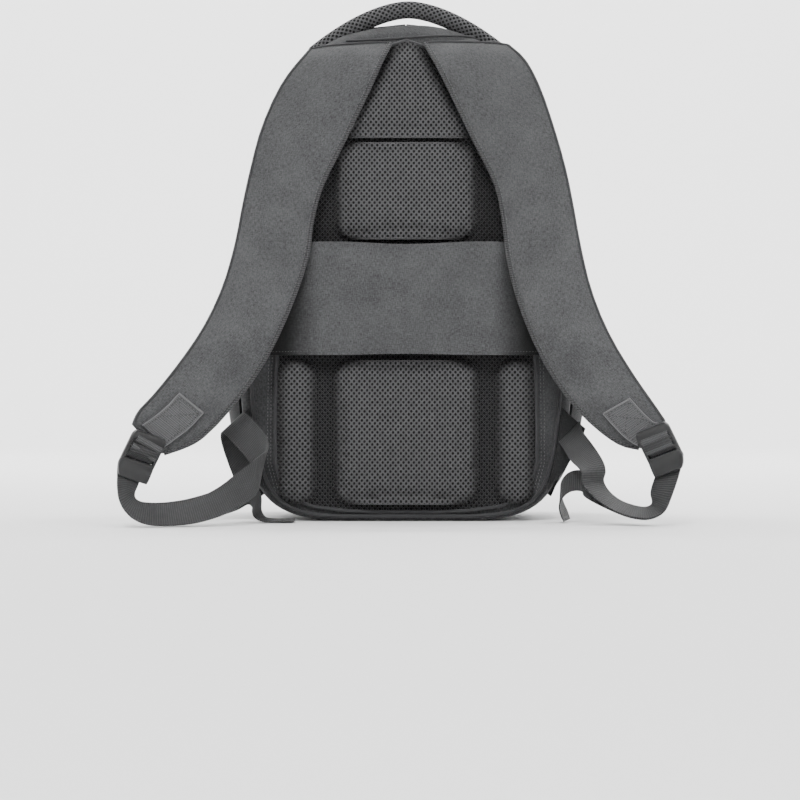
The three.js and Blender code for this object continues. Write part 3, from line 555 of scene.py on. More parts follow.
def webbingFinish(name, shade):
    finish, tree, shader = newFinish(name, 0.75, sheen=0.1, specular=0.3)
    plane = clothPlane(tree, True)
    lengthwise = ribs(tree, plane, webbingLook["rib"], "X")
    crosswise = ribs(tree, plane, webbingLook["pick"], "Y")
    worn = stretched(tree, plane, 3 * mm, 9 * mm)
    grid = maths(tree, "MULTIPLY", maths(tree, "ADD", lengthwise, 0.35), maths(tree, "ADD", crosswise, 0.35))
    tone = maths(tree, "ADD", maths(tree, "MULTIPLY", grid, 0.5), maths(tree, "MULTIPLY", worn, 0.3))
    dark, light = ([c * shade for c in webbingLook[key]] for key in ("dark", "light"))
    ramp = blendColours(tree, tone, dark, light)
    tree.links.new(ramp.outputs[0], shader.inputs["Base Color"])
    raiseBy(tree, shader, grid, 0.8, 0.25 * mm)
    return finish


def knitFinish(name, tone, pitch=0.55 * mm, edgeShade=0.0):  # knitted strands of the air mesh
    finish, tree, shader = newFinish(name, 0.8, sheen=0.1, specular=0.25)
    plane = clothPlane(tree, False)
    loops = maths(tree, "MULTIPLY", ribs(tree, plane, pitch, "X"), ribs(tree, plane, pitch, "Y"))
    patchy = stretched(tree, plane, 6 * mm, 6 * mm)
    mixed = maths(tree, "ADD", maths(tree, "MULTIPLY", loops, 0.5), maths(tree, "MULTIPLY", patchy, 0.5))
    ramp = blendColours(tree, mixed, [c * 0.7 for c in tone], [c * 1.25 for c in tone])
    colour = paintedEdgeShade(tree, ramp.outputs[0], edgeShade) if edgeShade else ramp.outputs[0]
    tree.links.new(colour, shader.inputs["Base Color"])
    raiseBy(tree, shader, loops, 0.5, 0.1 * mm)
    return finish


def airMeshFinish(name, tone, wide=4.9 * mm, tall=5.6 * mm):  # staggered holes, as a pattern
    finish, tree, shader = newFinish(name, 0.85, sheen=0.08, specular=0.2)
    plane = clothPlane(tree, True)
    scale = (math.tau / wide, math.tau / tall, 1)
    place = addNode(tree, "ShaderNodeMapping", {"Vector": plane, "Scale": scale})
    parts = tree.nodes.new("ShaderNodeSeparateXYZ")
    tree.links.new(place, parts.inputs[0])
    across, along = (maths(tree, "COSINE", parts.outputs[k]) for k in (0, 1))
    lattice = maths(tree, "MULTIPLY", across, along)
    ramp = blendColours(tree, lattice, tone, (0.006, 0.006, 0.006))
    ramp.color_ramp.elements[0].position = 0.2
    ramp.color_ramp.elements[1].position = 0.45
    tree.links.new(ramp.outputs[0], shader.inputs["Base Color"])
    raiseBy(tree, shader, maths(tree, "MULTIPLY", lattice, -1.0), 1.0, 0.8 * mm)
    return finish


def plasticFinish(name):
    finish, tree, shader = newFinish(name, 0.32, specular=0.45)
    coordinates = tree.nodes.new("ShaderNodeTexCoord").outputs["Object"]
    grain = addNode(tree, "ShaderNodeTexNoise", {"Vector": coordinates, "Scale": 2200.0, "Detail": 3.0})
    worn = addNode(tree, "ShaderNodeTexNoise", {"Vector": coordinates, "Scale": 120.0, "Detail": 4.0})
    ramp = blendColours(tree, worn, (0.006, 0.006, 0.0065), (0.013, 0.013, 0.0135))
    tree.links.new(ramp.outputs[0], shader.inputs["Base Color"])
    raiseBy(tree, shader, grain, 0.25, 0.05 * mm)
    return finish


def bindingFinish(name, dark, light, pitch=0.8 * mm):
    finish, tree, shader = newFinish(name, 0.8, sheen=0.1, specular=0.25)
    plane = clothPlane(tree, False)
    along, across = ribs(tree, plane, pitch, "Y"), ribs(tree, plane, pitch, "X")
    cords = maths(tree, "ADD", along, maths(tree, "MULTIPLY", across, 0.5))
    ramp = blendColours(tree, cords, dark, light)
    tree.links.new(ramp.outputs[0], shader.inputs["Base Color"])
    raiseBy(tree, shader, cords, 0.5, 0.15 * mm)
    return finish


def threadFinish(name, colour):
    finish, tree, shader = newFinish(name, 0.6, sheen=0.2)
    plane = clothPlane(tree, False)
    twist = ribs(tree, plane, 0.5 * mm, "DIAGONAL")
    ramp = blendColours(tree, twist, [c * 0.7 for c in colour], colour)
    tree.links.new(ramp.outputs[0], shader.inputs["Base Color"])
    return finish


strapCloth = melangeFinish("strap_melange", True)
# the body shells and front pocket use the strap melange darkened to 0.72: painted shade for cloth turning
# away from the light
bodyClothShaded = melangeFinish("body_melange_painted_shade", False, shade=0.72)
# side pockets and wings: partly a darker cloth, partly painted shade for sides that face away from the light
pocketClothDarkAndShaded = melangeFinish("pocket_melange_dark_and_painted_shade", False, shade=0.32)
# the sleeve cloth is painted darker towards its ends, as shade beside and under the straps
sleeveCloth = melangeFinish("sleeve_melange", False, shade=0.95, edgeShade=0.12)
webbingCloth = webbingFinish("ribbed_webbing", 0.75)
patchCloth = webbingFinish("patch_webbing", 2.0)
turnCloth = webbingFinish("turned_webbing", 1.7)
# the pad strands are painted darker towards the pad outlines, as shade where the pads roll off
meshStrand = knitFinish("air_mesh_strands", (0.066, 0.066, 0.068), edgeShade=0.14)
# the channels use the pads' air mesh in a much darker tone: painted shade in the recessed channels
channelStrandShaded = knitFinish("air_mesh_channels_painted_shade", (0.016, 0.016, 0.017))
# near-black on the hole floors and slopes: painted shade inside the holes
meshHolePaintedShade = knitFinish("air_mesh_holes_painted_shade", (0.006, 0.006, 0.0065), pitch=0.9 * mm)
strapMesh = airMeshFinish("strap_air_mesh", (0.05, 0.05, 0.052))
satinPlastic = plasticFinish("satin_plastic")
rolledEdge = bindingFinish("rolled_mesh_edge", (0.005, 0.005, 0.0055), (0.05, 0.05, 0.052), pitch=2.1 * mm)
darkBinding = bindingFinish("dark_binding", (0.012, 0.012, 0.013), (0.04, 0.04, 0.042))
zipTape = bindingFinish("zip_tape", (0.01, 0.01, 0.011), (0.026, 0.026, 0.028), pitch=0.6 * mm)
patchEdge = bindingFinish("patch_selvedge", (0.05, 0.05, 0.052), (0.13, 0.13, 0.133), pitch=1.0 * mm)
greyThread = threadFinish("grey_thread", (0.09, 0.09, 0.093))
darkThread = threadFinish("dark_thread", (0.012, 0.012, 0.013))
print("finishes made")


# Air mesh: a lattice of diamonds with a hole pressed into each

airMesh = {
    "wide": 4.9 * mm,
    "tall": 5.6 * mm,
    "strand": 0.4 * mm,
    "slope": 0.2 * mm,
    "hole": 1.6 * mm,
}


def latticeSheet(name, low, high, wide, tall):  # flat sheet in front of the seat, facing the wearer
    bpy.ops.object.select_all(action="DESELECT")
    across, up = max(2, round((high.x - low.x) / wide)), max(2, round((high.z - low.z) / tall))
    bpy.ops.mesh.primitive_grid_add(x_subdivisions=across, y_subdivisions=up, size=1,
                                    location=(low + high) / 2, rotation=(math.pi / 2, 0, 0))
    piece = bpy.context.object
    piece.name = piece.data.name = name
    piece.scale = (high.x - low.x, high.z - low.z, 1)
    bpy.ops.object.transform_apply()
    startEdit(piece)
    bpy.ops.mesh.poke()
    straight = 1e-6

    def wasGrid(edge):
        step = edge.verts[1].co - edge.verts[0].co
        return len(edge.link_faces) == 2 and min(abs(step.x), abs(step.z)) < straight

    bpy.ops.mesh.select_mode(type="EDGE")
    pickEdges(piece, wasGrid)
    bpy.ops.mesh.dissolve_edges(use_verts=False)
    endEdit()
    return piece


def cutOutline(piece, planes):
    for place, outward in planes:
        startEdit(piece)
        bpy.ops.mesh.bisect(plane_co=place, plane_no=outward, clear_outer=True)
    endEdit()


def pressHoles(piece, cellArea, level):
    startEdit(piece)
    pickFaces(piece, lambda face: face.calc_area() > 0.4 * cellArea)
    bpy.ops.mesh.inset(thickness=airMesh["strand"], depth=0, use_individual=True)
    # the pressed holes get the near-black finish, painted shade in the holes
    bpy.context.object.active_material_index = 1
    bpy.ops.object.material_slot_assign()
    bpy.ops.mesh.inset(thickness=airMesh["slope"], depth=-airMesh["hole"], use_individual=True)
    endEdit()
    if level:
        subdivide(piece, level)


def roundedPlanes(low, high, lean, corner, steps=3):  # cutting planes of a trapezoid with round corners
    middle, half = (low.x + high.x) / 2, (high.x - low.x) / 2
    planes = []
    for side in (-1, 1):
        foot = Vector((middle + side * half, 0, low.z))
        head = Vector((middle + side * (half - lean), 0, high.z))
        slope = (head - foot).normalized()
        outward = Vector((side * slope.z, 0, -side * slope.x))
        planes.append((foot, outward))
        for point, along, vertical in ((foot, slope, -1), (head, -slope, 1)):
            centre = point - outward * corner + along * corner
            for step in range(1, steps + 1):
                angle = math.pi / 2 * step / (steps + 1)
                direction = outward * math.cos(angle) + Vector((0, 0, vertical)) * math.sin(angle)
                planes.append((centre + direction * corner, direction))
    return planes


padShape = {
    "pressure": 4.0,
    "cap": 3 * mm,
    "voxel": 4 * mm,
    "corner": 16 * mm,
    "shrink": 1.0 * mm,
    "roll": 13 * mm,
    "rim": 0.1,
    # width of the painted shade along the pad outlines
    "painted_shade": 9 * mm,
}


def foamTarget(node):  # the pad's foam, swollen under pressure
    foam = takeNode(node, f"foam_{node}")
    startEdit(foam)
    bpy.ops.transform.shrink_fatten(value=-padShape["shrink"])
    endEdit()
    addModifier(foam, "REMESH", mode="VOXEL", voxel_size=padShape["voxel"])
    inflate(foam, padShape["pressure"], padShape["cap"])
    addModifier(foam, "SMOOTH", factor=0.5, iterations=4)
    return foam


def buildPad(node):
    low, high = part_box(node)
    lean = (high.x - low.x) / 2 * 0.86 if node == "pad_top" else 0
    piece = latticeSheet(node + "_mesh", Vector((low.x, low.y, low.z)), Vector((high.x, low.y, high.z)),
                         airMesh["wide"], airMesh["tall"])
    planes = roundedPlanes(low, high, lean, min(padShape["corner"], ((high.x - low.x) / 2 - lean) * 0.8))
    cutOutline(piece, planes)
    piece.data.materials.append(meshStrand)
    piece.data.materials.append(meshHolePaintedShade)
    foam = foamTarget(node)
    tree = treeFrom(foam)
    drop(foam)
    points = pointsOf(piece)
    inside = np.min([(np.array(place) - points) @ np.array(outward) for place, outward in planes], axis=0)
    share = np.clip(inside / padShape["roll"], 0, 1)
    # painted shade on the strands near the pad outline
    markPaintedShade(piece, 1 - inside / padShape["painted_shade"])
    share = padShape["rim"] + (1 - padShape["rim"]) * np.sqrt(1 - (1 - share) ** 2)
    for point, full in zip(points, share):
        hit = tree.ray_cast(Vector((point[0], low.y - 0.05, point[2])), Vector((0, 1, 0)))[0]
        front = hit.y if hit else low.y
        point[1] = high.y - (high.y - front) * full
    movePoints(piece, points)
    pressHoles(piece, airMesh["wide"] * airMesh["tall"] / 2, 1)
    startEdit(piece, "EDGE")
    pickEdges(piece, lambda e: e.is_boundary)
    bpy.ops.mesh.extrude_region_move()
    cage = bmesh.from_edit_mesh(piece.data)
    for vert in cage.verts:
        if vert.select:
            vert.co.y = high.y - 0.05 * mm
    bmesh.update_edit_mesh(piece.data)
    bpy.ops.mesh.edge_face_add()
    endEdit()
    settle(piece, [node], smooth=60)


def buildPads():
    for node in ("pad_top", "pad_middle", "pad_lower_centre", "pad_lower_left", "pad_lower_right"):
        buildPad(node)
    print("pads made")


def buildBackPanel():
    low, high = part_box("back_panel")
    outline = unpick("back_panel", "probe", lambda island: facing(island, Vector((0, -1, 0))))
    loop = longestRim(outline)
    drop(outline)
    piece = latticeSheet("back_panel_mesh", Vector((low.x, low.y, low.z)), Vector((high.x, low.y, high.z)),
                         airMesh["wide"], airMesh["tall"])
    centre = sum(loop, Vector()) / len(loop)
    planes = []
    for first, second in zip(loop, loop[1:] + loop[:1]):
        side = Vector((second.z - first.z, 0, first.x - second.x)).normalized()
        if side.dot(first - centre) < 0:
            side.negate()
        if max((other - first).dot(side) for other in loop) < 0.5 * mm:
            planes.append((first, side))
    cutOutline(piece, planes)
    piece.data.materials.append(channelStrandShaded)
    piece.data.materials.append(meshHolePaintedShade)
    pressHoles(piece, airMesh["wide"] * airMesh["tall"] / 2, 0)
    startEdit(piece, "EDGE")
    pickEdges(piece, lambda e: e.is_boundary)
    bpy.ops.mesh.extrude_region_move(TRANSFORM_OT_translate={"value": (0, high.y - low.y, 0)})
    bpy.ops.mesh.edge_face_add()
    endEdit()
    settle(piece, ["back_panel"], smooth=30)
    edge = [Vector((p.x, low.y, p.z)) for p in loop]
    lines = []
    for step in (4.5 * mm, 7.5 * mm):
        for side in (-1, 1):
            flankEdge = [p for p in loop if p.x * side > 0 and 25 * mm < p.z < 330 * mm]
            flankEdge.sort(key=lambda p: p.z)
            lines.append([Vector((p.x + side * step, high.y, p.z)) for p in flankEdge])
    stitchPiece("back_panel_stitches", lines, greyThread)
    cordPiece("back_panel_binding", edge, 1.7 * mm, darkBinding, closed=True)
    print("back panel made")


# Shoulder straps: fabric over foam, air mesh beneath, bound edges

strapShape = {
    "columns": 12,
    "roundness": 3.4,
    "seamShare": 0.06,
    "pressure": 3.0,
    "cap": 2.2 * mm,
    "piping": 1.7 * mm,
    "binding": 1.5 * mm,
    "rollOut": 0.2 * mm,
    "creases": {  # how far down the strap, from and to across it, and the depth in mm
        "left": [(0.47, 0.05, 0.6, 2.6), (0.5, 0.4, 0.95, 1.9),
                 (0.3, 0.55, 1.0, 1.3), (0.62, 0.1, 0.6, 1.3)],
        "right": [(0.5, 0.45, 1.0, 2.8), (0.46, 0.3, 0.85, 1.7),
                  (0.2, 0.05, 0.5, 1.6), (0.64, 0.2, 0.7, 1.2)],
    },
}


def castDistance(tree, start, direction, fallback):
    hit = tree.ray_cast(start, direction)
    return hit[3] if hit[0] is not None else fallback


def strapSections(side):
    node = f"strap_{side}"
    inner, outer = sheetSides(node, lambda island: facing(island, Vector((0, -1, 0))))
    if abs(inner[0].x) > abs(outer[0].x):
        inner, outer = outer, inner
    if inner[0].z < inner[-1].z:
        inner, outer = inner[::-1], outer[::-1]
    tree = treeOf(node)
    sections = []
    last = len(inner) - 1
    for i, (a, b) in enumerate(zip(inner, outer)):
        after, before = min(i + 1, last), max(i - 1, 0)
        ahead = inner[after] + outer[after] - inner[before] - outer[before]
        normal = ahead.cross(b - a).normalized()
        if normal.dot(sections[-1]["normal"] if sections else Vector((0, -1, 0))) < 0:
            normal.negate()
        middle = (a + b) / 2
        rise = castDistance(tree, middle, normal, 3 * mm)
        depth = castDistance(tree, middle, -normal, 5 * mm)
        sections.append({"inner": a, "outer": b, "normal": normal, "rise": rise, "depth": depth})
    return sections


def strapPoint(section, share, top):
    seam = -strapShape["seamShare"] * (section["rise"] + section["depth"])
    full = 1 - abs(2 * share - 1) ** strapShape["roundness"]
    height = seam + (section["rise"] - seam) * full if top else seam - (section["depth"] + seam) * full
    return section["inner"].lerp(section["outer"], share) + section["normal"] * height


def strapEdge(sections, share, out):
    edge = []
    for section in sections:
        across = (section["outer"] - section["inner"]).normalized() * (2 * share - 1)
        edge.append(strapPoint(section, share, True) + across * out)
    return edge


def buildStrap(side):
    sections = strapSections(side)
    count = strapShape["columns"]
    shares = [0.5 - 0.5 * math.cos(math.pi * k / count) * (0.75 + 0.25 * abs(math.cos(math.pi * k / count)))
              for k in range(count + 1)]
    rings = [[strapPoint(s, v, True) for v in shares] + [strapPoint(s, v, False) for v in shares[-2:0:-1]]
             for s in sections]
    around = 2 * count
    faces = []
    for r in range(len(rings) - 1):
        for c in range(around):
            faces.append((r * around + c, r * around + (c + 1) % around,
                          (r + 1) * around + (c + 1) % around, (r + 1) * around + c))
    for first in (0, (len(rings) - 1) * around):
        for k in range(count):
            below, after = (around - k) % around, (around - k - 1) % around
            corners = [first + k, first + k + 1, first + after, first + below]
            faces.append(tuple(dict.fromkeys(corners)))
    piece = meshPiece(f"strap_{side}_pad", [p for ring in rings for p in ring], faces)
    mapStrap(piece.data, sections, shares, around)
    piece.data.materials.append(strapCloth)
    piece.data.materials.append(strapMesh)
    seam = piece.vertex_groups.new(name="seam")
    for r in range(len(rings)):
        held = range(around) if r in (0, len(rings) - 1) else (0, count)
        seam.add([r * around + c for c in held], 1.0, "REPLACE")
    startEdit(piece)
    bpy.ops.mesh.normals_make_consistent(inside=False)
    endEdit()
    subdivide(piece, 1)
    inflate(piece, strapShape["pressure"], strapShape["cap"], pin="seam")
    subdivide(piece, 1)
    line = len(sections) - 1
    for along, start, end, depth in strapShape["creases"][side]:
        section = sections[round(along * line)]
        skewed = sections[min(line, round(along * line) + 1)]
        ends = strapPoint(section, start, True), strapPoint(skewed, end, True)
        pressCrease(piece, *ends, 5 * mm, depth * mm)
    settle(piece, [f"strap_{side}"], smooth=60)
    inner, outer = strapEdge(sections, 0, strapShape["rollOut"]), strapEdge(sections, 1, -0.4 * mm)
    lastOnes = [strapPoint(sections[-1], k / 10, True) for k in range(1, 10)]
    for name, edge, thick, finish in (
            ("inner", inner, strapShape["piping"], rolledEdge),
            ("outer", outer + lastOnes[::-1] + inner[-1:], strapShape["binding"], darkBinding)):
        cordPiece(f"strap_{side}_piping_{name}", resample(edge, 4 * mm), thick, finish)
    top = [strapPoint(sections[0], k / 12, True).lerp(strapPoint(sections[1], k / 12, True), 0.1)
           for k in range(13)]
    cordPiece(f"strap_{side}_top_seam", top, 0.9 * mm, darkBinding)
    raised = [strapPoint(s, 0.035, True) + s["normal"] * 0.35 * mm for s in sections]
    stitchPiece(f"strap_{side}_stitches", [raised], greyThread)


def mapStrap(mesh, sections, shares, around):
    uvMap = mesh.uv_layers.new(name="UVMap")
    count = len(shares) - 1
    middles = [(s["inner"] + s["outer"]) / 2 for s in sections]
    lengths = np.concatenate([[0], np.cumsum([(b - a).length for a, b in zip(middles, middles[1:])])])
    rows = len(sections)
    for index, face in enumerate(mesh.polygons):
        column = index % around if index < (rows - 1) * around else None
        face.material_index = 1 if column is not None and column >= count else 0
        for loop in face.loop_indices:
            r, c = divmod(mesh.loops[loop].vertex_index, around)
            share = shares[c] if c <= count else shares[around - c]
            width = (sections[r]["outer"] - sections[r]["inner"]).length
            uvMap.data[loop].uv = ((share - 0.5) * width, lengths[r])


# Webbing: bands that follow their solids, with ribs along their own length

band = {"width": 28 * mm, "columns": 5}


def buildBand(node, finish):
    near, far, thick = bandSides(node, band["width"])
    rows = [[a.lerp(b, k / (band["columns"] - 1)) for k in range(band["columns"])] for a, b in zip(near, far)]
    piece = gridPiece(node + "_band", rows)
    subdivide(piece, 2)
    addModifier(piece, "SOLIDIFY", thickness=thick * 0.92, offset=0)
    piece.data.materials.append(finish)
    settle(piece, [node], smooth=50)
    return near, far


def buildPatch(side):
    near, far = buildBand(f"patch_{side}", patchCloth)
    if near[0].z < near[-1].z:
        near, far = near[::-1], far[::-1]
    length = (near[-1] - near[0]).length
    normal = (near[-1] - near[0]).cross(far[0] - near[0]).normalized()
    if normal.y > 0:
        normal.negate()
    nearLine, farLine = resample(near, 1 * mm), resample(far, 1 * mm)
    tree = treeFrom(scene.objects[f"patch_{side}_band"])

    def spot(along, across):
        one = nearLine[min(len(nearLine) - 1, round(along * len(nearLine)))]
        two = farLine[min(len(farLine) - 1, round(along * len(farLine)))]
        start = Vector(one).lerp(Vector(two), across) + normal * 10 * mm
        return (tree.ray_cast(start, -normal)[0] or start - normal * 9 * mm) + normal * 0.25 * mm

    def run(start, end):
        return [spot(start[0] + (end[0] - start[0]) * k / 12, start[1] + (end[1] - start[1]) * k / 12)
                for k in range(13)]

    first, last = 2.4 * mm / length, 27 * mm / length
    corners = [(first, 0.09), (first, 0.91), (last, 0.91), (last, 0.09)]
    lines = [run(a, b) for a, b in zip(corners, corners[1:] + corners[:1])]
    lines += [run(corners[0], corners[2]), run(corners[1], corners[3])]
    lines += [run((last, across), (0.9, across)) for across in (0.09, 0.91)]
    stitchPiece(f"patch_{side}_stitches", lines, darkThread, thick=0.5 * mm)
    for name, line, outwards in (("near", near, near[0] - far[0]), ("far", far, far[0] - near[0])):
        shadowOffset = outwards.normalized() * 0.9 * mm - normal * 0.5 * mm
        cordPiece(f"patch_{side}_selvedge_{name}", line, 0.8 * mm, patchEdge)
        # a dark cord just outside and below each selvedge: painted shadow line where the patch edge meets the
        # strap
        cordPiece(f"patch_{side}_seam_{name}", [p + shadowOffset for p in line], 0.9 * mm, darkBinding)
    folded = [spot(0, k / 6) - normal * 0.8 * mm for k in range(7)]
    cordPiece(f"patch_{side}_fold", folded, 1.1 * mm, patchEdge)


def buildWebbing():
    for side in ("left", "right"):
        buildBand(f"webbing_{side}", webbingCloth)
        buildBand(f"tail_{side}", webbingCloth)
        buildPatch(side)
    print("webbing made")


# Moulded pieces keep their solids' shape, with softened edges

moulded = {"bevel": 0.45 * mm, "segments": 3, "angle": 28}


def softenSolid(node, finish, bevel=None):
    piece = takeNode(node, node + "_moulded")
    mergeFlat(piece)
    addModifier(piece, "BEVEL", width=bevel or moulded["bevel"], segments=moulded["segments"],
                limit_method="ANGLE", angle_limit=math.radians(moulded["angle"]))
    piece.data.materials.append(finish)
    return settle(piece, [node], smooth=35)


turns = {  # in mm from the buckle's upper edge
    "strips": [(7.0, 7.6, 3.0), (15.4, 8.2, 3.0)],  # start, length and rise
    # dark sheet behind the slots, partly painted shade: start, length and rise
    "under": (6.0, 24.0, -3.9),
    "underHalf": 15.8,
    "half": 14.3,
    "cross": 9,
}


def buildTurns(side):  # webbing seen between the bars of a ladder buckle
    near, far, _ = bandSides(f"patch_{side}", band["width"])
    if near[0].z < near[-1].z:
        near, far = near[::-1], far[::-1]
    guess = (far[-1] - near[-1]).normalized()
    plate = takeNode(f"buckle_{side}", "probe")
    mergeFlat(plate)
    front = max(plate.data.polygons, key=lambda p: p.area * (p.normal.y < 0))
    normal, level = front.normal.copy(), front.center.dot(front.normal)
    corners = [v.co.copy() for v in plate.data.vertices]
    sides = [corners[b] - corners[a] for a, b in front.edge_keys]
    longSides = [step.normalized() for step in sides if step.length > 20 * mm]
    across = max(longSides, key=lambda d: abs(d.dot(guess)))
    drop(plate)
    along = across.cross(normal).normalized()
    if along.z > 0:
        along.negate()
    start = min(c.dot(along) for c in corners)
    reach = [c.dot(across) for c in corners]
    middle = across * (min(reach) + max(reach)) / 2

    def spot(ahead, sideways, rise):
        return along * (start + ahead * mm) + middle + across * sideways * mm + normal * (level + rise * mm)

    count = turns["cross"]
    for number, (begin, wide, rise) in enumerate(turns["strips"]):
        rows = []
        for k in range(count):
            angle = math.pi * k / (count - 1)
            ahead = begin + wide / 2 * (1 - math.cos(angle))
            height = -2.6 + (rise + 1.6) * math.sin(angle)
            rows.append([spot(ahead, turns["half"] * s, height) for s in (-1, -0.5, 0, 0.5, 1)])
        strip = gridPiece(f"buckle_{side}_turn_{number}", rows)
        faceTowards(strip, normal)
        subdivide(strip, 1)
        addModifier(strip, "SOLIDIFY", thickness=0.8 * mm, offset=-1)
        strip.data.materials.append(turnCloth)
        settle(strip, smooth=60)
    # a dark sheet behind the slots: partly the webbing that runs under the buckle, partly painted shade seen
    # through the slots
    begin, wide, rise = turns["under"]
    rows = [[spot(begin + wide * k, turns["underHalf"] * s, rise) for s in (-1, 1)] for k in (0, 1)]
    back = gridPiece(f"buckle_{side}_under", rows)
    addModifier(back, "SOLIDIFY", thickness=0.8 * mm, offset=0)
    back.data.materials.append(darkBinding)
    settle(back, smooth=60)


def buildHardware():
    for side in ("left", "right"):
        softenSolid(f"buckle_{side}", satinPlastic, 0.8 * mm)
        buildTurns(side)
        softenSolid(f"zip_slider_{side}", satinPlastic, 0.3 * mm)
    print("hardware made")


# Luggage sleeve: one band of cloth with hems, standing off the back

sleeve = {"hem": 7 * mm, "cloth": 1.4 * mm, "shadeFrom": 80 * mm, "shadeTo": 112 * mm}


def buildSleeve():
    low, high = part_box("luggage_sleeve")
    piece = unpick("luggage_sleeve", "luggage_sleeve_cloth",
                   lambda island: facing(island, Vector((0, -1, 0))))
    toQuads(piece, 180, 180)
    subdivide(piece, 3)
    points = pointsOf(piece)
    ends = np.clip((high.x - np.abs(points[:, 0])) / (12 * mm), 0, 1)
    crumple(piece, 45 * mm, 2.2 * mm, ends)
    points = pointsOf(piece)
    slack = np.sin(np.pi * (points[:, 0] - low.x) / (high.x - low.x))
    sagging = np.where(points[:, 2] > (low.z + high.z) / 2, -1.4, 0.6) * mm
    points[:, 2] += sagging * slack * np.cos(points[:, 0] * 40)
    # painted shade from shadeFrom to shadeTo, out towards the sleeve ends
    markPaintedShade(piece, (np.abs(points[:, 0]) - sleeve["shadeFrom"]) / (sleeve["shadeTo"] - sleeve["shadeFrom"]))
    hemmed = np.minimum(points[:, 2] - low.z, high.z - points[:, 2]) < sleeve["hem"]
    points[:, 1] -= np.where(hemmed, 0.35 * mm, 0)
    movePoints(piece, points)
    addModifier(piece, "SOLIDIFY", thickness=sleeve["cloth"], offset=-1)
    piece.data.materials.append(sleeveCloth)
    settle(piece, ["luggage_sleeve"], smooth=50)
    tree = treeFrom(piece)
    lines = []
    for height in (low.z + 3.0 * mm, high.z - 3.0 * mm):
        line = []
        for x in np.linspace(low.x + 4 * mm, high.x - 4 * mm, 90):
            hit = tree.ray_cast(Vector((x, low.y - 0.1, height)), Vector((0, 1, 0)))[0]
            if hit:
                line.append(hit)
        lines.append(line)
    stitchPiece("sleeve_stitches", lines, darkThread)
    print("sleeve made")


# Body: two cloth shells with the zip between them

shell = {
    "cloth": 2.0 * mm,
    "fullness": 3.5 * mm,
    "size": 70 * mm,
    "quiet": 18 * mm,  # beside the zip, where the cloth stays in line with it
    "cord": 1.3 * mm,
    "zipFoot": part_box("main_zip")[0].z,
}


def outermost(island):
    xs = [v.co.x for f in island for v in f.verts]
    zs = [v.co.z for f in island for v in f.verts]
    return (max(xs) - min(xs)) + (max(zs) - min(zs)) + 0.001 * area(island)


def buildShell(node, flatSide):
    piece = unpick(node, node + "_cloth", outermost)
    toQuads(piece)
    subdivide(piece, 2)
    points = pointsOf(piece)
    inward = np.clip(points[:, 2] / (25 * mm), 0, 1)
    if flatSide < 0:
        inward *= np.clip((points[:, 1] - points[:, 1].min() - 1 * mm) / (12 * mm), 0, 1)
    rims = rimsOf(piece)
    finder = KDTree(sum(len(rim) for rim in rims))
    for index, spot in enumerate(spot for rim in rims for spot in rim):
        finder.insert(spot, index)
    finder.balance()
    inward *= np.clip([finder.find(Vector(p))[2] / shell["quiet"] for p in points], 0, 1)
    crumple(piece, shell["size"], shell["fullness"], inward)
    rim = max(rims, key=len)
    lowest = rim.index(min(rim, key=lambda p: p.z))
    above = [p for p in rim[lowest:] + rim[:lowest] if p.z > shell["zipFoot"]]
    cordPiece(node + "_zip_edge", resample(above, 5 * mm), shell["cord"], darkBinding)
    addModifier(piece, "SOLIDIFY", thickness=shell["cloth"], offset=-1)
    piece.data.materials.append(bodyClothShaded)
    settle(piece, [node], smooth=50)


def zipTeeth(name, one, two, outwards, pitch=1.6 * mm, wide=4.4 * mm):
    middle = resample([(a + b) / 2 for a, b in zip(one, two)], pitch)
    across = Vector(two[0] - one[0]).normalized()
    bpy.ops.object.select_all(action="DESELECT")
    bpy.ops.mesh.primitive_cube_add(size=1)
    model = bpy.context.object
    addModifier(model, "BEVEL", width=0.22, segments=1)
    shape = pointsOf(model) * (pitch * 0.62, wide, 0.9 * mm)
    faces = [list(p.vertices) for p in model.data.polygons]
    drop(model)
    allPoints, allFaces = [], []
    for i, spot in enumerate(middle):
        ahead = Vector(middle[min(i + 1, len(middle) - 1)] - middle[max(i - 1, 0)]).normalized()
        up = ahead.cross(across).normalized()
        if up.dot(outwards(spot)) < 0:
            up.negate()
        turn = np.array([ahead, across, up])
        allFaces += [[k + len(shape) * i for k in face] for face in faces]
        allPoints.append(shape @ turn + spot + np.array(up) * 0.3 * mm)
    piece = meshPiece(name, np.concatenate(allPoints).tolist(), allFaces)
    piece.data.materials.append(satinPlastic)
    startEdit(piece)
    bpy.ops.mesh.normals_make_consistent(inside=False)
    endEdit()
    return settle(piece, smooth=40)


def buildZip(node, name, outwards, thick):
    one, two = sheetSides(node, outermost)
    columns = 5
    rows = [[a.lerp(b, k / (columns - 1)) for k in range(columns)] for a, b in zip(one, two)]
    piece = gridPiece(name, rows)
    faceTowards(piece, outwards(np.array((one[0] + two[0]) / 2)))
    addModifier(piece, "SOLIDIFY", thickness=thick, offset=-1)
    subdivide(piece, 1)
    piece.data.materials.append(zipTape)
    settle(piece, [node], smooth=50)
    zipTeeth(name + "_teeth", one, two, outwards)


def buildBody():
    buildShell("rear_shell", -1)
    buildShell("front_shell", 1)
    centre = Vector((0, 0, 0.18))
    buildZip("main_zip", "main_zip_tape", lambda p: Vector((p[0], 0, p[2])) - centre, 1.6 * mm)
    print("body made")


# Pockets

pocket = {"cloth": 1.8 * mm, "fullness": 2.4 * mm, "hem": 2.1 * mm}


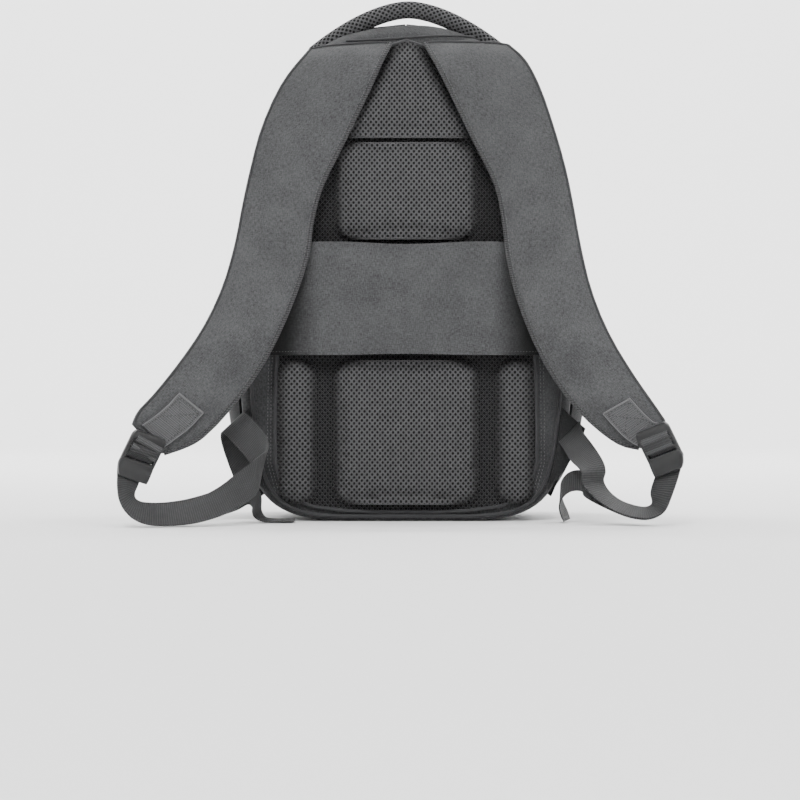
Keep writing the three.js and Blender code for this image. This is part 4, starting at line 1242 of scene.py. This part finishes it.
def buildFrontPocket():
    piece = unpick("front_pocket", "front_pocket_cloth",
                   lambda island: facing(island, Vector((0, 1, 0))) + 0.01 * outermost(island))
    toQuads(piece)
    subdivide(piece, 2)
    crumple(piece, 50 * mm, pocket["fullness"])
    addModifier(piece, "SOLIDIFY", thickness=pocket["cloth"], offset=-1)
    piece.data.materials.append(bodyClothShaded)
    settle(piece, ["front_pocket"], smooth=50)
    buildZip("pocket_zip", "pocket_zip_tape", lambda p: Vector((0, 1, 0)), 1.4 * mm)


def buildSidePocket(side, sign):
    node = f"side_pocket_{side}"
    piece = unpick(node, node + "_cloth", lambda island: facing(island, Vector((sign, 0, 0))))
    toQuads(piece, 180, 180)
    subdivide(piece, 2)
    crumple(piece, 35 * mm, 1.6 * mm)
    points = pointsOf(piece)
    top = points[:, 2].max()
    rim = points[points[:, 2] > top - 3 * mm]
    rim = rim[np.argsort(rim[:, 1])]
    addModifier(piece, "SOLIDIFY", thickness=pocket["cloth"], offset=-1)
    piece.data.materials.append(pocketClothDarkAndShaded)
    settle(piece, [node], smooth=50)
    cordPiece(node + "_hem", resample(rim, 5 * mm), pocket["hem"], darkBinding)


def buildPockets():
    buildFrontPocket()
    buildSidePocket("left", -1)
    buildSidePocket("right", 1)
    print("pockets made")


# Edges of the back: piping cord, fabric wings and the top seam cord

topSeam = {"from": -56 * mm, "to": 78 * mm, "height": 454.5 * mm, "wave": 2.5 * mm, "thick": 1.1 * mm}


def buildTrim():
    piping = takeNode("panel_piping", "panel_piping_cord")
    toQuads(piping)
    subdivide(piping, 1)
    piping.data.materials.append(darkBinding)
    settle(piping, ["panel_piping"], smooth=60)
    for side in ("left", "right"):
        wing = takeNode(f"wing_{side}", f"wing_{side}_cloth")
        mergeFlat(wing)
        addModifier(wing, "BEVEL", width=0.5 * mm, segments=2,
                    limit_method="ANGLE", angle_limit=math.radians(40))
        wing.data.materials.append(pocketClothDarkAndShaded)
        settle(wing, [f"wing_{side}"], smooth=40)
    back = treeOf("rear_shell")
    line = []
    for x in np.linspace(topSeam["from"], topSeam["to"], 40):
        height = topSeam["height"] + topSeam["wave"] * math.sin(x * 30)
        hit = back.ray_cast(Vector((x, -0.3, height)), Vector((0, 1, 0)))[0]
        if hit:
            line.append(hit)
    cordPiece("top_seam", line, topSeam["thick"], darkBinding)
    print("trim made")


# Grab handle: a foam tube wrapped in air mesh

handle = {"radius": 8.3 * mm, "around": 10, "cell": 5.4 * mm, "ends": 2 * mm}


def buildHandle():
    low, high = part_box("grab_handle")
    tree = treeOf("grab_handle")
    depth = (low.y + high.y) / 2
    line = []
    for x in np.linspace(low.x + handle["ends"], high.x - handle["ends"], 60):
        top = tree.ray_cast(Vector((x, depth, high.z + 0.05)), Vector((0, 0, -1)))[0]
        if top:
            line.append((x, depth, top.z))
    line = np.array(line)
    slopes = np.gradient(line[:, 2], line[:, 0])
    line[:, 2] -= handle["radius"] * np.sqrt(1 + slopes ** 2)
    along = np.concatenate([[0], np.cumsum(np.linalg.norm(np.diff(line, axis=0), axis=1))])
    circle = math.tau * handle["radius"]
    wide = circle / handle["around"]
    piece = latticeSheet("grab_handle_mesh", Vector((0, 0, 0)), Vector((along[-1], 0, circle)),
                         handle["cell"], wide)
    piece.data.materials.append(meshStrand)
    piece.data.materials.append(meshHolePaintedShade)
    points = pointsOf(piece)
    spots = np.stack([np.interp(points[:, 0], along, line[:, k]) for k in range(3)], axis=1)
    gradient = np.interp(points[:, 0], along, slopes)
    side = np.stack([-gradient, 0 * gradient, 1 + 0 * gradient], axis=1) / np.sqrt(1 + gradient ** 2)[:, None]
    angle = points[:, 2] / handle["radius"] + math.pi / 2
    front = np.array([0, -1, 0])
    outwards = np.cos(angle)[:, None] * front + np.sin(angle)[:, None] * side
    movePoints(piece, spots + handle["radius"] * outwards)
    startEdit(piece)
    bpy.ops.mesh.remove_doubles(threshold=0.02 * mm)
    bpy.ops.mesh.normals_make_consistent(inside=False)
    endEdit()
    pressHoles(piece, wide * handle["cell"] / 2, 1)
    startEdit(piece, "EDGE")
    pickEdges(piece, lambda e: e.is_boundary)
    bpy.ops.mesh.fill()
    endEdit()
    settle(piece, ["grab_handle"], smooth=60)
    print("handle made")


buildPads()
buildBackPanel()
for strapSide in ("left", "right"):
    buildStrap(strapSide)
print("straps made")
buildWebbing()
buildHardware()
buildSleeve()
buildBody()
buildPockets()
buildTrim()
buildHandle()


# Stage, light and camera at the photo's place

view = {
    "distance": 2.0,
    "side": -5.64 * mm,
    "height": 113.7 * mm,
    "backPlane": -85 * mm,
    "field": 0.752,
    "sensor": 36.0,
}


def buildStage():
    bpy.ops.object.select_all(action="DESELECT")
    bpy.ops.mesh.primitive_plane_add(size=8, location=(0, 0, -0.2 * mm))
    floor = bpy.context.object
    floor.name = "floor"
    startEdit(floor, "EDGE")
    pickEdges(floor, lambda e: min(v.co.y for v in e.verts) > 3.9)
    bpy.ops.mesh.extrude_region_move(TRANSFORM_OT_translate={"value": (0, 0, 5)})
    endEdit()
    addModifier(floor, "BEVEL", width=1.0, segments=10, limit_method="ANGLE")
    bpy.ops.object.shade_smooth()
    finish, _, shader = newFinish("pale_floor", 0.8, specular=0.1)
    shader.inputs["Base Color"].default_value = (0.86, 0.86, 0.86, 1)
    floor.data.materials.append(finish)


def addLight(name, place, target, size, power):
    light = bpy.data.lights.new(name, "AREA")
    light.shape = "DISK"
    light.size = size
    light.energy = power
    lamp = bpy.data.objects.new(name, light)
    scene.collection.objects.link(lamp)
    lamp.location = place
    lamp.rotation_euler = (Vector(target) - Vector(place)).to_track_quat("-Z", "Y").to_euler()


middleOfBag, farWall = (0, -0.1, 0.22), (0, 4, 1.2)
lamps = {
    "key": {"place": (-0.4, -2.5, 2.3), "target": middleOfBag, "size": 1.1, "power": 78},
    "fill": {"place": (1.6, -2.1, 1.4), "target": middleOfBag, "size": 1.4, "power": 26},
    "top": {"place": (0.0, 0.3, 2.6), "target": middleOfBag, "size": 1.4, "power": 26},
    "backdrop_left": {"place": (-1.8, 1.2, 2.6), "target": farWall, "size": 2.0, "power": 150},
    "backdrop_right": {"place": (1.8, 1.2, 2.6), "target": farWall, "size": 2.0, "power": 150},
}


def buildLights():
    for name, lamp in lamps.items():
        addLight(name, **lamp)
    world = bpy.data.worlds.new("soft_room")
    world.use_nodes = True
    world.node_tree.nodes["Background"].inputs[0].default_value = (1, 1, 1, 1)
    world.node_tree.nodes["Background"].inputs[1].default_value = 0.35
    scene.world = world


def buildCamera():
    camera = bpy.data.cameras.new("photo_camera")
    camera.sensor_width = view["sensor"]
    camera.lens = view["sensor"] * view["distance"] / view["field"]
    eye = bpy.data.objects.new("photo_camera", camera)
    scene.collection.objects.link(eye)
    eye.location = (view["side"], view["backPlane"] - view["distance"], view["height"])
    eye.rotation_euler = (math.pi / 2, 0, 0)
    scene.camera = eye


buildStage()
buildLights()
buildCamera()
print("stage made")
